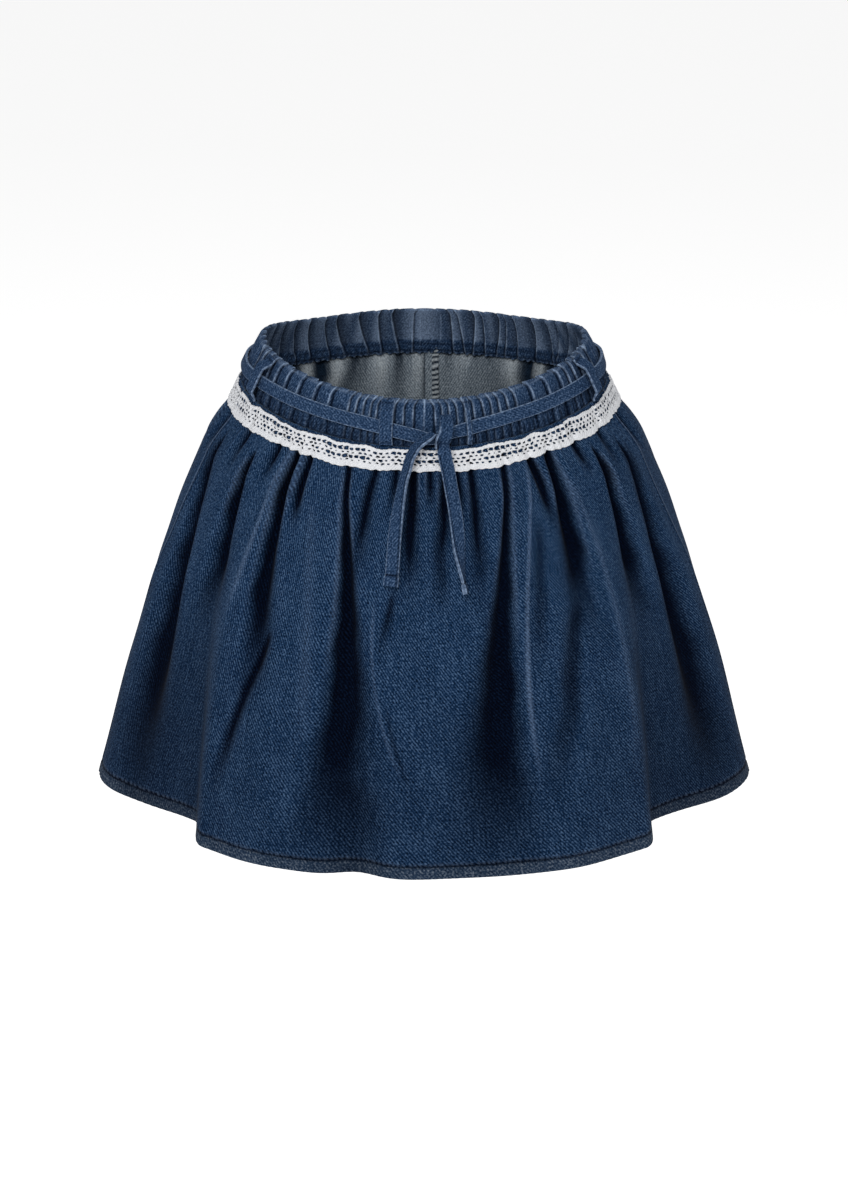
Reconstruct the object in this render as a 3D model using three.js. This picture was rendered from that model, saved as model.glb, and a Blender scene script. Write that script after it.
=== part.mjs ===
// A child's denim skort: a flared skirt gathered on an elastic casing, over plain inner shorts,
// with a cotton lace trim under the casing and a self-fabric tie belt in loops, knotted in front.
// It keeps the hollow form that it has when it is worn.
// Millimetres, +Z up, the front towards -Y. The origin is the middle of the waist opening,
// level with the top edge at the centre front. A place on the cloth is given by its angle round
// the waist (deg, 0 at the centre front, positive to +X) and by how far it lies below the top
// edge (drop). An offset is measured outwards from the outer face of the skirt.
import * as THREE from 'three';

// Driving dimensions
const LENGTH = 245;
const WAIST_HALF_WIDTH = 87.5;
const WAIST_HALF_DEPTH = 75;
const HEM_HALF_WIDTH = 182;
const HEM_FRONT_DEPTH = 140;
const HEM_BACK_DEPTH = 130;
const SIDE_RISE = 11.5;
const BACK_RISE = 1.2;
const CLOTH = 1.3;
const SEAM_GAP = 0.3;
const CASING_HEIGHT = 23;
const CASING_THICK = 3.2;
const HEM_HEIGHT = 8;
const HEM_THICK = 2.6;
const LACE_HEIGHT = 11;
const LACE_THICK = 1;
const BELT_WIDTH = 7.5;
const BELT_THICK = 2;
const BELT_CLEARANCE = 0.5;
const CROTCH_DROP = 165;
const SHORTS_DROP = 212;
const LEG_GAP = 8;
const ALLOWANCE_WIDTH = 8.5;

// How far the skirt has spread from its waist size to its hem size, by drop
const FLARE = [
  { drop: 0, spread: 0 },
  { drop: 9, spread: 0.053 },
  { drop: 18, spread: 0.093 },
  { drop: 28, spread: 0.141 },
  { drop: 37, spread: 0.194 },
  { drop: 45, spread: 0.265 },
  { drop: 53, spread: 0.323 },
  { drop: 61, spread: 0.363 },
  { drop: 69, spread: 0.401 },
  { drop: 85, spread: 0.473 },
  { drop: 104, spread: 0.547 },
  { drop: 120, spread: 0.611 },
  { drop: 145, spread: 0.696 },
  { drop: 178, spread: 0.806 },
  { drop: 212, spread: 0.907 },
  { drop: 245, spread: 1 },
];

// Valleys of the front panel. start and stop are drops, at, mid and end are degrees at the
// start, halfway and at the stop; deep, and the half widths wide (at the start) and open (at
// the stop) are millimetres. A stop past the hem means that the valley runs out over it.
const FRONT_FOLDS = [
  { start: 24, stop: 62, at: -80, mid: -80, end: -81, deep: 2.5, wide: 3, open: 5 },
  { start: 26, stop: 232, at: -71, mid: -68, end: -65, deep: 5, wide: 5, open: 16 },
  { start: 24, stop: 58, at: -62, mid: -62, end: -62, deep: 2.5, wide: 2.5, open: 4 },
  { start: 26, stop: 112, at: -55, mid: -54, end: -53, deep: 5, wide: 3.5, open: 8 },
  { start: 24, stop: 56, at: -47, mid: -47, end: -47, deep: 3, wide: 2.5, open: 4 },
  { start: 24, stop: 112, at: -39, mid: -38, end: -38.5, deep: 5, wide: 3, open: 7 },
  { start: 100, stop: 240, at: -33, mid: -38, end: -42, deep: 4, wide: 8, open: 14 },
  { start: 24, stop: 64, at: -35, mid: -35, end: -34, deep: 3.5, wide: 2.5, open: 4 },
  { start: 24, stop: 300, at: -23, mid: -15.5, end: -14, deep: 7.5, wide: 3, open: 16 },
  { start: 24, stop: 90, at: -15, mid: -15.5, end: -18, deep: 3.5, wide: 3, open: 6 },
  { start: 24, stop: 58, at: -8, mid: -8, end: -8, deep: 2.5, wide: 2.5, open: 4 },
  { start: 24, stop: 84, at: -2, mid: -2, end: -2, deep: 3, wide: 3, open: 5 },
  { start: 24, stop: 108, at: 3, mid: 2, end: 2, deep: 2.5, wide: 2.5, open: 6 },
  { start: 24, stop: 58, at: 8, mid: 8, end: 8, deep: 2.5, wide: 2.5, open: 4 },
  { start: 24, stop: 214, at: 15, mid: 17, end: 11, deep: 6.5, wide: 3, open: 14 },
  { start: 24, stop: 116, at: 22, mid: 21.5, end: 19, deep: 5, wide: 3, open: 7 },
  { start: 24, stop: 102, at: 32, mid: 29, end: 26, deep: 3.5, wide: 3, open: 7 },
  { start: 24, stop: 106, at: 39, mid: 38, end: 38, deep: 4.5, wide: 3, open: 7 },
  { start: 75, stop: 200, at: 37, mid: 33, end: 26, deep: 2.5, wide: 6, open: 12 },
  { start: 24, stop: 54, at: 49, mid: 49.5, end: 50, deep: 3, wide: 2.5, open: 4 },
  { start: 26, stop: 114, at: 55, mid: 54, end: 53, deep: 5, wide: 3.5, open: 8 },
  { start: 24, stop: 58, at: 62, mid: 62, end: 62, deep: 2.5, wide: 2.5, open: 4 },
  { start: 26, stop: 218, at: 70, mid: 66, end: 63, deep: 5, wide: 5, open: 15 },
  { start: 24, stop: 62, at: 79, mid: 80, end: 81, deep: 2.5, wide: 3, open: 5 },
];

// The back isn't shown: its valleys take their reach, depth and lean from this short pattern
const BACK_FOLD_COUNT = 19;
const BACK_FOLD_FIRST = 93;
const BACK_FOLD_STEP = 9.7;
const BACK_PATTERN = [
  { stop: 300, deep: 7.5, wide: 3.5, open: 17, shift: 1.5, lean: 4 },
  { stop: 62, deep: 3, wide: 3, open: 4, shift: -0.8, lean: 0 },
  { stop: 120, deep: 4.5, wide: 3, open: 8, shift: 0.6, lean: -1.5 },
  { stop: 250, deep: 6.5, wide: 3, open: 15, shift: -1.2, lean: -3 },
  { stop: 84, deep: 3.5, wide: 3, open: 6, shift: 1, lean: 1 },
];
const FOLD_RISE = 22;
const FOLD_FADE_FROM = 0.55;

// The deep fold at each side, where the front swings out over the side of the hem
const SIDE_FOLD = { start: 55, stop: 245, at: 51, end: 44, deep: 26, before: 7, after: 10, far: 88 };

// Side seams: degrees at the casing and at the hem
const SEAM_TOP = 76;
const SEAM_HEM = 89;
const SEAM_LEAN_START = 60;
const SEAM_LEAN_STOP = 190;

// Ridges of the casing's gathers, degrees from the centre front to the side seam
const RIDGES_RIGHT = [0, 3.7, 6.1, 8.4, 11, 13.6, 16.6, 20, 22.8, 25.6, 28.7, 31.9, 39, 46, 52.7, 57,
  61, 66, 71, 76];
const RIDGES_LEFT = [0, 3.6, 6.8, 10, 13.7, 15.8, 18, 20.4, 23, 25.6, 33, 39.4, 46.5, 53, 59, 64, 68,
  72, 76];
const BACK_RIDGE_STEPS = [5.2, 4.1, 6.3, 4.6, 5.6, 3.9];
const GATHER_DEEP = 1.5;
const GATHER_DEEPEST = 1.2;
const GATHER_WIDE_SPAN = 6;
const VALLEY_PLACE = 0.78;
const HALFWAY_SHARE = 0.4;

// Middle of the belt round the waist
const BELT_RUN = [
  { deg: -180, drop: 13 },
  { deg: -120, drop: 14 },
  { deg: -88, drop: 15 },
  { deg: -64, drop: 13 },
  { deg: -45, drop: 12.5 },
  { deg: -26, drop: 13.8 },
  { deg: -11, drop: 15 },
  { deg: 0.8, drop: 18.6 },
  { deg: 5.1, drop: 18 },
];
const BELT_RUN_RIGHT = [
  { deg: 5.4, drop: 18 },
  { deg: 9.6, drop: 16.8 },
  { deg: 15, drop: 15.6 },
  { deg: 32, drop: 13 },
  { deg: 63, drop: 12.5 },
  { deg: 90, drop: 14.5 },
  { deg: 120, drop: 14 },
  { deg: 180, drop: 13 },
];

// Free ends of the tie: the middle of the strap, and how far it is turned on edge (degrees)
const TAIL_LEFT = [
  { deg: 0.9, drop: 26, off: 4.6, turn: 25 },
  { deg: -1.6, drop: 30, off: 4.2, turn: 52 },
  { deg: -4.2, drop: 35.5, off: 4.2, turn: 60 },
  { deg: -6.1, drop: 42, off: 4, turn: 45 },
  { deg: -7.4, drop: 50, off: 3.2, turn: 18 },
  { deg: -8.2, drop: 59, off: 2.6, turn: 4 },
  { deg: -8.7, drop: 70, off: 2.2, turn: 0 },
  { deg: -8.7, drop: 82, off: 2, turn: 2 },
  { deg: -8.3, drop: 92, off: 2, turn: 8 },
  { deg: -8.5, drop: 99, off: 2.2, turn: 10 },
];
const TAIL_RIGHT = [
  { deg: 6.4, drop: 27, off: 4.4, turn: -8 },
  { deg: 7.6, drop: 32, off: 3.8, turn: -5 },
  { deg: 8.9, drop: 39, off: 3.2, turn: 0 },
  { deg: 9.6, drop: 48, off: 2.8, turn: 8 },
  { deg: 10.1, drop: 58, off: 3, turn: 22 },
  { deg: 10.3, drop: 69, off: 3.4, turn: 44 },
  { deg: 10.4, drop: 81, off: 3.8, turn: 62 },
  { deg: 10.8, drop: 92, off: 3.8, turn: 66 },
  { deg: 11.2, drop: 102, off: 3.8, turn: 62 },
];
const TAIL_STATIONS = 18;

const KNOT = { deg: 5.2, drop: 18, off: 6.1, halfWidth: 4.2, halfDepth: 3.1, halfHeight: 6 };

// Belt loops: lean is the degrees that the foot lies further out than the head. The right front
// one is folded on itself lengthwise
const LOOPS = [
  { name: 'loop_side_left', deg: -64, lean: -2.4, slack: 1.4, width: 7, thick: 1.6 },
  { name: 'loop_side_right', deg: 64.5, lean: 2.2, slack: 1.4, width: 7, thick: 1.6 },
  { name: 'loop_front_left', deg: -12.4, lean: 0.5, slack: 0.2, width: 7, thick: 1.6 },
  { name: 'loop_front_right', deg: 14.4, lean: 0, slack: 0.6, width: 3.6, thick: 2.4 },
  { name: 'loop_back', deg: 180, lean: 0, slack: 0.2, width: 7, thick: 1.6 },
];
const LOOP_HEAD = 0.6;
const LOOP_FOOT = 22.9;
const LOOP_REST = 0.4;
const LOOP_STATIONS = 12;

// Grid rows and columns of the panels
const CASING_ROWS = [0, 2.5, 12, CASING_HEIGHT];
const LACE_TOP = CASING_HEIGHT + 0.6;
const LACE_FOOT = LACE_TOP + LACE_HEIGHT;
const HEM_STEP = 0.5;
const SKIRT_ROWS = [CASING_HEIGHT + SEAM_GAP, LACE_FOOT, 44, 58, 76, 98, 126, 160, 198,
  LENGTH - HEM_HEIGHT - HEM_STEP, LENGTH - HEM_HEIGHT, LENGTH];
const FRONT_COLUMNS = 90;
const BACK_COLUMNS = 62;
const SHORTS_ROWS = [CASING_HEIGHT + SEAM_GAP, 38, 58, 84, 108, 128, 145, 157, CROTCH_DROP, 188,
  SHORTS_DROP];
const SHORTS_COLUMNS = 24;

const RADIAN = Math.PI / 180;

function clamp01(value) {
  return Math.min(1, Math.max(0, value));
}

function ease(from, to, value) {
  const t = clamp01((value - from) / (to - from));
  return t * t * (3 - 2 * t);
}

function mix(a, b, t) {
  return a + (b - a) * t;
}

// A smooth line through the rows of a table, with the slope at each row taken from its neighbours
function along(rows, key, column, x) {
  const last = rows.length - 1;
  if (x <= rows[0][key]) return rows[0][column];
  if (x >= rows[last][key]) return rows[last][column];
  let i = 0;
  while (x > rows[i + 1][key]) i += 1;
  const slope = (k) => {
    const lo = rows[Math.max(0, k - 1)];
    const hi = rows[Math.min(last, k + 1)];
    return (hi[column] - lo[column]) / (hi[key] - lo[key]);
  };
  const span = rows[i + 1][key] - rows[i][key];
  const t = (x - rows[i][key]) / span;
  const bend = t * t * (3 - 2 * t);
  return mix(rows[i][column], rows[i + 1][column], bend)
    + span * (slope(i) * t * (1 - t) * (1 - t) - slope(i + 1) * t * t * (1 - t));
}

function halfWidth(drop) {
  return mix(WAIST_HALF_WIDTH, HEM_HALF_WIDTH, along(FLARE, 'drop', 'spread', drop));
}

function halfDepth(deg, drop) {
  const hem = Math.cos(deg * RADIAN) > 0 ? HEM_FRONT_DEPTH : HEM_BACK_DEPTH;
  return mix(WAIST_HALF_DEPTH, hem, along(FLARE, 'drop', 'spread', drop));
}

// The top edge stands highest at the hips and dips at the centre front and back
function rimHeight(deg) {
  const c = Math.cos(deg * RADIAN);
  const s = Math.abs(Math.sin(deg * RADIAN));
  return c > 0 ? SIDE_RISE * s * s : SIDE_RISE * s ** 5 + BACK_RISE * c * c;
}

function levelOf(deg, drop) {
  return -drop + rimHeight(deg) * (1 - drop / LENGTH);
}

// Millimetres along the cloth for one degree round the waist
function degreeLength(deg, drop) {
  const a = halfWidth(drop) * Math.cos(deg * RADIAN);
  const b = halfDepth(deg, drop) * Math.sin(deg * RADIAN);
  return Math.hypot(a, b) * RADIAN;
}

const BACK_FOLDS = Array.from({ length: BACK_FOLD_COUNT }, (_, k) => {
  const row = BACK_PATTERN[k % BACK_PATTERN.length];
  const at = BACK_FOLD_FIRST + k * BACK_FOLD_STEP + row.shift;
  return { ...row, start: 24, at, mid: at + row.lean * 0.6, end: at + row.lean };
});

function valleyDip(fold, deg, drop) {
  if (drop <= fold.start || drop >= fold.stop) return 0;
  const t = (drop - fold.start) / (fold.stop - fold.start);
  const bow = 2 * (2 * fold.mid - fold.at - fold.end);
  const line = mix(fold.at, fold.end, t) + bow * t * (1 - t);
  const away = (deg - line) * degreeLength(deg, drop);
  const half = mix(fold.wide, fold.open, t);
  if (Math.abs(away) > 3 * half) return 0;
  const fade = 1 - ease(FOLD_FADE_FROM, 1, t);
  const strength = ease(fold.start, fold.start + FOLD_RISE, drop) * fade;
  return -fold.deep * strength * Math.exp(-((away / half) ** 2));
}

function sideDip(deg, drop) {
  const t = clamp01((drop - SIDE_FOLD.start) / (SIDE_FOLD.stop - SIDE_FOLD.start));
  const edge = mix(SIDE_FOLD.at, SIDE_FOLD.end, t);
  const far = Math.abs(deg);
  const floor = edge + SIDE_FOLD.after;
  if (far <= edge - SIDE_FOLD.before || far >= SIDE_FOLD.far) return 0;
  const across = far < floor
    ? ease(edge - SIDE_FOLD.before, floor, far)
    : 0.5 * (1 + Math.cos(Math.PI * (far - floor) / (SIDE_FOLD.far - floor)));
  return -SIDE_FOLD.deep * t * across;
}

// Depth of all the folds below the casing. deg runs from -180 to 360
function foldDip(deg, drop) {
  const turned = deg > 180 ? deg - 360 : deg;
  let dip = sideDip(turned, drop);
  for (const fold of FRONT_FOLDS) dip += valleyDip(fold, turned, drop);
  const behind = deg < 0 ? deg + 360 : deg;
  for (const fold of BACK_FOLDS) dip += valleyDip(fold, behind, drop);
  return dip;
}

// A point of the form, moved out level by an offset, before any tilt of the cloth is followed
function formPoint(deg, drop, offset) {
  const angle = deg * RADIAN;
  const a = halfWidth(drop);
  const b = halfDepth(deg, drop);
  const across = new THREE.Vector3(b * Math.sin(angle), -a * Math.cos(angle), 0).normalize();
  const point = new THREE.Vector3(a * Math.sin(angle), -b * Math.cos(angle), levelOf(deg, drop));
  return point.addScaledVector(across, offset);
}

function clothPoint(deg, drop) {
  return formPoint(deg, drop, foldDip(deg, drop));
}

// The outward normal of a surface given as a function of degrees and drop
function normalOf(surface, deg, drop) {
  const step = 0.4;
  const round = surface(deg + step, drop).sub(surface(deg - step, drop));
  const down = surface(deg, drop + step).sub(surface(deg, drop - step));
  return down.cross(round).normalize();
}

function offsetPoint(surface, deg, drop, offset) {
  return surface(deg, drop).addScaledVector(normalOf(surface, deg, drop), offset);
}

// A closed body between two grids of points, with its four edges closed
function gridSolid(outer, inner) {
  const rows = outer.length;
  const columns = outer[0].length;
  const last = columns - 1;
  const foot = rows - 1;
  const vertices = [...outer.flat(), ...inner.flat()].flatMap((p) => [p.x, p.y, p.z]);
  const at = (side, i, j) => side * rows * columns + i * columns + j;
  const faces = [];
  const quad = (a, b, c, d) => faces.push(a, b, c, a, c, d);
  for (let i = 0; i + 1 < rows; i += 1) {
    for (let j = 0; j + 1 < columns; j += 1) {
      quad(at(0, i, j), at(0, i + 1, j), at(0, i + 1, j + 1), at(0, i, j + 1));
      quad(at(1, i, j), at(1, i, j + 1), at(1, i + 1, j + 1), at(1, i + 1, j));
    }
    quad(at(0, i, 0), at(1, i, 0), at(1, i + 1, 0), at(0, i + 1, 0));
    quad(at(0, i, last), at(0, i + 1, last), at(1, i + 1, last), at(1, i, last));
  }
  for (let j = 0; j + 1 < columns; j += 1) {
    quad(at(0, 0, j), at(0, 0, j + 1), at(1, 0, j + 1), at(1, 0, j));
    quad(at(0, foot, j), at(1, foot, j), at(1, foot, j + 1), at(0, foot, j + 1));
  }
  return facingOut(vertices, faces);
}

// A closed body along a row of closed sections, with flat ends
function sectionSolid(sections) {
  const count = sections[0].length;
  const vertices = sections.flat().flatMap((p) => [p.x, p.y, p.z]);
  const faces = [];
  for (let i = 0; i + 1 < sections.length; i += 1) {
    for (let j = 0; j < count; j += 1) {
      const next = (j + 1) % count;
      const a = i * count;
      const b = a + count;
      faces.push(a + j, b + j, b + next, a + j, b + next, a + next);
    }
  }
  const last = (sections.length - 1) * count;
  for (let j = 1; j + 1 < count; j += 1) {
    faces.push(0, j, j + 1, last, last + j + 1, last + j);
  }
  return facingOut(vertices, faces);
}

function facingOut(vertices, faces) {
  let volume = 0;
  const corner = (k) => new THREE.Vector3(...vertices.slice(3 * k, 3 * k + 3));
  for (let f = 0; f < faces.length; f += 3) {
    volume += corner(faces[f]).dot(corner(faces[f + 1]).cross(corner(faces[f + 2])));
  }
  const ordered = [...faces];
  if (volume < 0) {
    for (let f = 0; f < ordered.length; f += 3) {
      [ordered[f + 1], ordered[f + 2]] = [ordered[f + 2], ordered[f + 1]];
    }
  }
  const geometry = new THREE.BufferGeometry();
  geometry.setAttribute('position', new THREE.Float32BufferAttribute(vertices, 3));
  geometry.setIndex(ordered);
  geometry.computeVertexNormals();
  return geometry;
}

const group = new THREE.Group();

const FINISHES = {
  denim: { color: 0x2b3f63, roughness: 0.85, metalness: 0 },
  denimReverse: { color: 0x5b656d, roughness: 0.9, metalness: 0 },
  lace: { color: 0xe9e9ec, roughness: 0.8, metalness: 0 },
};

function addPiece(name, geometry, finish) {
  const mesh = new THREE.Mesh(geometry, new THREE.MeshStandardMaterial(FINISHES[finish]));
  mesh.name = name;
  group.add(mesh);
}

// Casing: folded denim over elastic. Each gather falls slowly from its inner ridge to a valley
// beside the next ridge, so that the ridges lap towards the sides
function ridgesRound() {
  const left = RIDGES_LEFT.slice(1).map((deg) => -deg).reverse();
  const front = [...left, ...RIDGES_RIGHT];
  const back = [];
  const stop = 360 - SEAM_TOP;
  let deg = SEAM_TOP;
  for (let k = 0; deg < stop - 2; k += 1) {
    back.push(deg);
    deg += BACK_RIDGE_STEPS[k % BACK_RIDGE_STEPS.length];
  }
  return { front, back: [...back, stop] };
}

const RIDGES = ridgesRound();

// Columns of a casing half, with the gather's dip at each
function casingColumns(ridges) {
  const columns = [];
  for (let k = 0; k + 1 < ridges.length; k += 1) {
    const [from, to] = [ridges[k], ridges[k + 1]];
    const middle = (from + to) / 2;
    const outwards = middle > 0 && middle < 180;
    const valley = outwards ? VALLEY_PLACE : 1 - VALLEY_PLACE;
    const dip = -GATHER_DEEP * Math.min(GATHER_DEEPEST, Math.sqrt((to - from) / GATHER_WIDE_SPAN));
    const stops = [
      { place: 0, share: 0 },
      { place: valley, share: 1 },
      { place: outwards ? valley / 2 : (1 + valley) / 2, share: HALFWAY_SHARE },
    ].sort((p, q) => p.place - q.place);
    for (const stop of stops) columns.push({ deg: mix(from, to, stop.place), dip: dip * stop.share });
  }
  columns.push({ deg: ridges[ridges.length - 1], dip: 0 });
  return columns;
}

function casingHalf(ridges, edge) {
  const columns = casingColumns(ridges);
  columns[0].deg += edge;
  columns[columns.length - 1].deg -= edge;
  const outer = CASING_ROWS.map((drop) => columns.map(({ deg, dip }) => formPoint(deg, drop, dip)));
  const inner = CASING_ROWS.map((drop) => columns.map(
    ({ deg, dip }) => formPoint(deg, drop, -CASING_THICK - 0.5 * dip),
  ));
  return gridSolid(outer, inner);
}

const SEAM_EDGE = SEAM_GAP / 2 / degreeLength(SEAM_TOP, 0);
addPiece('casing_front', casingHalf(RIDGES.front, SEAM_EDGE), 'denim');
addPiece('casing_back', casingHalf(RIDGES.back, SEAM_EDGE), 'denim');

// Skirt: two panels, meeting at side seams that lean back towards the hem
function seamAt(drop) {
  return mix(SEAM_TOP, SEAM_HEM, ease(SEAM_LEAN_START, SEAM_LEAN_STOP, drop));
}

function panelDegrees(panel, drop) {
  const edge = SEAM_GAP / 2 / degreeLength(seamAt(drop), drop);
  const from = panel === 'front' ? -seamAt(drop) + edge : seamAt(drop) + edge;
  const to = panel === 'front' ? seamAt(drop) - edge : 360 - seamAt(drop) - edge;
  const columns = panel === 'front' ? FRONT_COLUMNS : BACK_COLUMNS;
  return Array.from({ length: columns + 1 }, (_, j) => mix(from, to, j / columns));
}

function panelGrid(panel, rows, offset) {
  return rows.map((drop) => panelDegrees(panel, drop).map(
    (deg) => offsetPoint(clothPoint, deg, drop, offset(drop)),
  ));
}

function skirtThickness(drop) {
  return drop >= LENGTH - HEM_HEIGHT ? -HEM_THICK : -CLOTH;
}

const LACE_ROWS = [LACE_TOP, LACE_FOOT];
for (const panel of ['front', 'back']) {
  const outer = panelGrid(panel, SKIRT_ROWS, () => 0);
  const inner = panelGrid(panel, SKIRT_ROWS, skirtThickness);
  addPiece(`skirt_${panel}`, gridSolid(outer, inner), 'denim');
  const laceOuter = panelGrid(panel, LACE_ROWS, () => SEAM_GAP + LACE_THICK);
  const laceInner = panelGrid(panel, LACE_ROWS, () => SEAM_GAP);
  addPiece(`lace_${panel}`, gridSolid(laceOuter, laceInner), 'lace');
}

// Tie belt, loops and free ends: straps with chamfered edges, carried along a row of stations
const CHAMFER = 0.5;

function strapSolid(stations, width, thick) {
  const half = width / 2;
  const deep = thick / 2;
  const corners = [
    [-half + CHAMFER, -deep], [half - CHAMFER, -deep],
    [half, -deep + CHAMFER], [half, deep - CHAMFER],
    [half - CHAMFER, deep], [-half + CHAMFER, deep],
    [-half, deep - CHAMFER], [-half, -deep + CHAMFER],
  ];
  const sections = stations.map((station, i) => {
    const before = stations[Math.max(0, i - 1)].point;
    const after = stations[Math.min(stations.length - 1, i + 1)].point;
    const ahead = after.clone().sub(before).normalize();
    const out = station.normal.clone().projectOnPlane(ahead).normalize();
    const side = new THREE.Vector3().crossVectors(ahead, out);
    const turn = -station.turn * RADIAN;
    const wide = side.clone().applyAxisAngle(ahead, turn);
    const face = out.clone().applyAxisAngle(ahead, turn);
    return corners.map(
      ([u, v]) => station.point.clone().addScaledVector(wide, u).addScaledVector(face, v),
    );
  });
  return sectionSolid(sections);
}

function plainForm(deg, drop) {
  return formPoint(deg, drop, 0);
}

function strapStation(deg, drop, offset, turn) {
  const normal = normalOf(plainForm, deg, drop);
  return { point: plainForm(deg, drop).addScaledVector(normal, offset), normal, turn };
}

const BELT_OFFSET = BELT_CLEARANCE + BELT_THICK / 2;
const BELT_STEP = 6;

// One strap from the left of the knot, round the back, to the right of the knot
function beltStations() {
  const degrees = [];
  const first = BELT_RUN[BELT_RUN.length - 1].deg;
  const last = BELT_RUN_RIGHT[0].deg;
  const count = Math.round((360 + first - last) / BELT_STEP);
  for (let k = 0; k <= count; k += 1) degrees.push(mix(first, last - 360, k / count));
  return degrees.map((deg) => {
    const right = deg < -180;
    const drop = right
      ? along(BELT_RUN_RIGHT, 'deg', 'drop', deg + 360)
      : along(BELT_RUN, 'deg', 'drop', deg);
    return strapStation(right ? deg + 360 : deg, drop, BELT_OFFSET, 0);
  });
}

addPiece('belt_round', strapSolid(beltStations(), BELT_WIDTH, BELT_THICK), 'denim');

// Each loop lies on the casing at its head and foot, and stands out over the belt between them
const LOOP_OUT = BELT_CLEARANCE + BELT_THICK + SEAM_GAP;
for (const loop of LOOPS) {
  const stations = Array.from({ length: LOOP_STATIONS + 1 }, (_, k) => {
    const t = k / LOOP_STATIONS;
    const drop = mix(LOOP_HEAD, LOOP_FOOT, t);
    const over = ease(0.06, 0.3, t) * (1 - ease(0.8, 0.98, t));
    const offset = mix(LOOP_REST, LOOP_OUT + loop.slack, over) + loop.thick / 2;
    return strapStation(loop.deg + loop.lean * t, drop, offset, 0);
  });
  addPiece(loop.name, strapSolid(stations, loop.width, loop.thick), 'denim');
}

function tailStations(route) {
  const rows = route.map((row, k) => ({ ...row, k }));
  return Array.from({ length: TAIL_STATIONS + 1 }, (_, i) => {
    const k = (i / TAIL_STATIONS) * (route.length - 1);
    const value = (column) => along(rows, 'k', column, k);
    return strapStation(value('deg'), value('drop'), value('off'), value('turn'));
  });
}

addPiece('tail_left', strapSolid(tailStations(TAIL_LEFT), BELT_WIDTH, BELT_THICK), 'denim');
addPiece('tail_right', strapSolid(tailStations(TAIL_RIGHT), BELT_WIDTH, BELT_THICK), 'denim');

// Knot: the belt's two ends wrapped once over each other, drawn into an upright lump
function knotSolid() {
  const geometry = new THREE.SphereGeometry(1, 14, 10);
  geometry.deleteAttribute('uv');
  const flat = 0.8;
  const place = geometry.getAttribute('position');
  for (let k = 0; k < place.count; k += 1) {
    const boxed = [place.getX(k), place.getY(k), place.getZ(k)].map(
      (value) => Math.sign(value) * Math.abs(value) ** flat,
    );
    place.setXYZ(k, boxed[0] * KNOT.halfWidth, boxed[2] * KNOT.halfDepth, boxed[1] * KNOT.halfHeight);
  }
  geometry.index.array.reverse();
  const station = strapStation(KNOT.deg, KNOT.drop, KNOT.off, 0);
  geometry.rotateZ(Math.atan2(station.normal.x, -station.normal.y));
  geometry.translate(station.point.x, station.point.y, station.point.z);
  geometry.computeVertexNormals();
  return geometry;
}

addPiece('knot', knotSolid(), 'denim');

// Inner shorts: each half is one sheet from the centre front round the side to the centre back,
// and below the crotch it closes into a leg. The rise is worked out as a change from half an
// oval round the hips to a whole oval round the leg
const SHORTS_FORM = [
  { drop: CASING_HEIGHT, width: 95, depth: 79 },
  { drop: 38, width: 96, depth: 77.5 },
  { drop: 60, width: 101, depth: 79 },
  { drop: 110, width: 106, depth: 83 },
  { drop: CROTCH_DROP, width: 110, depth: 84 },
  { drop: SHORTS_DROP, width: 113, depth: 80 },
];
const RISE_START = 95;
const SEWN_IN = 1.7;
const SEWN_FREE = 36;

function shortsPoint(share, drop) {
  const deg = 180 * share;
  const width = along(SHORTS_FORM, 'drop', 'width', drop);
  const depth = along(SHORTS_FORM, 'drop', 'depth', drop);
  const rise = clamp01((drop - RISE_START) / (CROTCH_DROP - RISE_START)) ** 2;
  const inner = SEAM_GAP / 2 + LEG_GAP * clamp01((drop - CROTCH_DROP) / (SHORTS_DROP - CROTCH_DROP));
  const hipX = Math.max(SEAM_GAP / 2, width * Math.sin(deg * RADIAN));
  const hipY = -depth * Math.cos(deg * RADIAN);
  const legHalf = (width - inner) / 2;
  const legX = inner + legHalf - legHalf * Math.cos(2 * deg * RADIAN);
  const legY = -depth * Math.sin(2 * deg * RADIAN);
  const own = new THREE.Vector3(mix(hipX, legX, rise), mix(hipY, legY, rise), levelOf(deg, drop));
  const sewn = formPoint(deg, drop, -SEWN_IN);
  sewn.x = Math.max(SEAM_GAP / 2, sewn.x);
  return sewn.lerp(own, ease(CASING_HEIGHT, SEWN_FREE, drop));
}

function shortsNormal(share, drop) {
  const step = 0.004;
  const fine = 0.5;
  const lo = Math.max(0, share - step);
  const hi = Math.min(1, share + step);
  const round = shortsPoint(hi, drop).sub(shortsPoint(lo, drop));
  const above = shortsPoint(share, Math.max(CASING_HEIGHT, drop - fine));
  const down = shortsPoint(share, drop + fine).sub(above);
  return down.cross(round).normalize();
}

function shortsOffset(share, drop, offset, mirror) {
  const point = shortsPoint(share, drop).addScaledVector(shortsNormal(share, drop), offset);
  point.x = mirror * Math.max(SEAM_GAP / 2, point.x);
  return point;
}

const INSEAM_EDGE = 0.002;
const SHORTS_SHARES = Array.from(
  { length: SHORTS_COLUMNS + 1 },
  (_, j) => mix(INSEAM_EDGE, 1 - INSEAM_EDGE, j / SHORTS_COLUMNS),
);

function shortsGrid(rows, shares, offset, mirror) {
  return rows.map((drop) => shares.map((share) => shortsOffset(share, drop, offset, mirror)));
}

for (const [name, mirror] of [['shorts_left', -1], ['shorts_right', 1]]) {
  const outer = shortsGrid(SHORTS_ROWS, SHORTS_SHARES, 0, mirror);
  const inner = shortsGrid(SHORTS_ROWS, SHORTS_SHARES, -CLOTH, mirror);
  addPiece(name, gridSolid(outer, inner), 'denimReverse');
}

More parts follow.
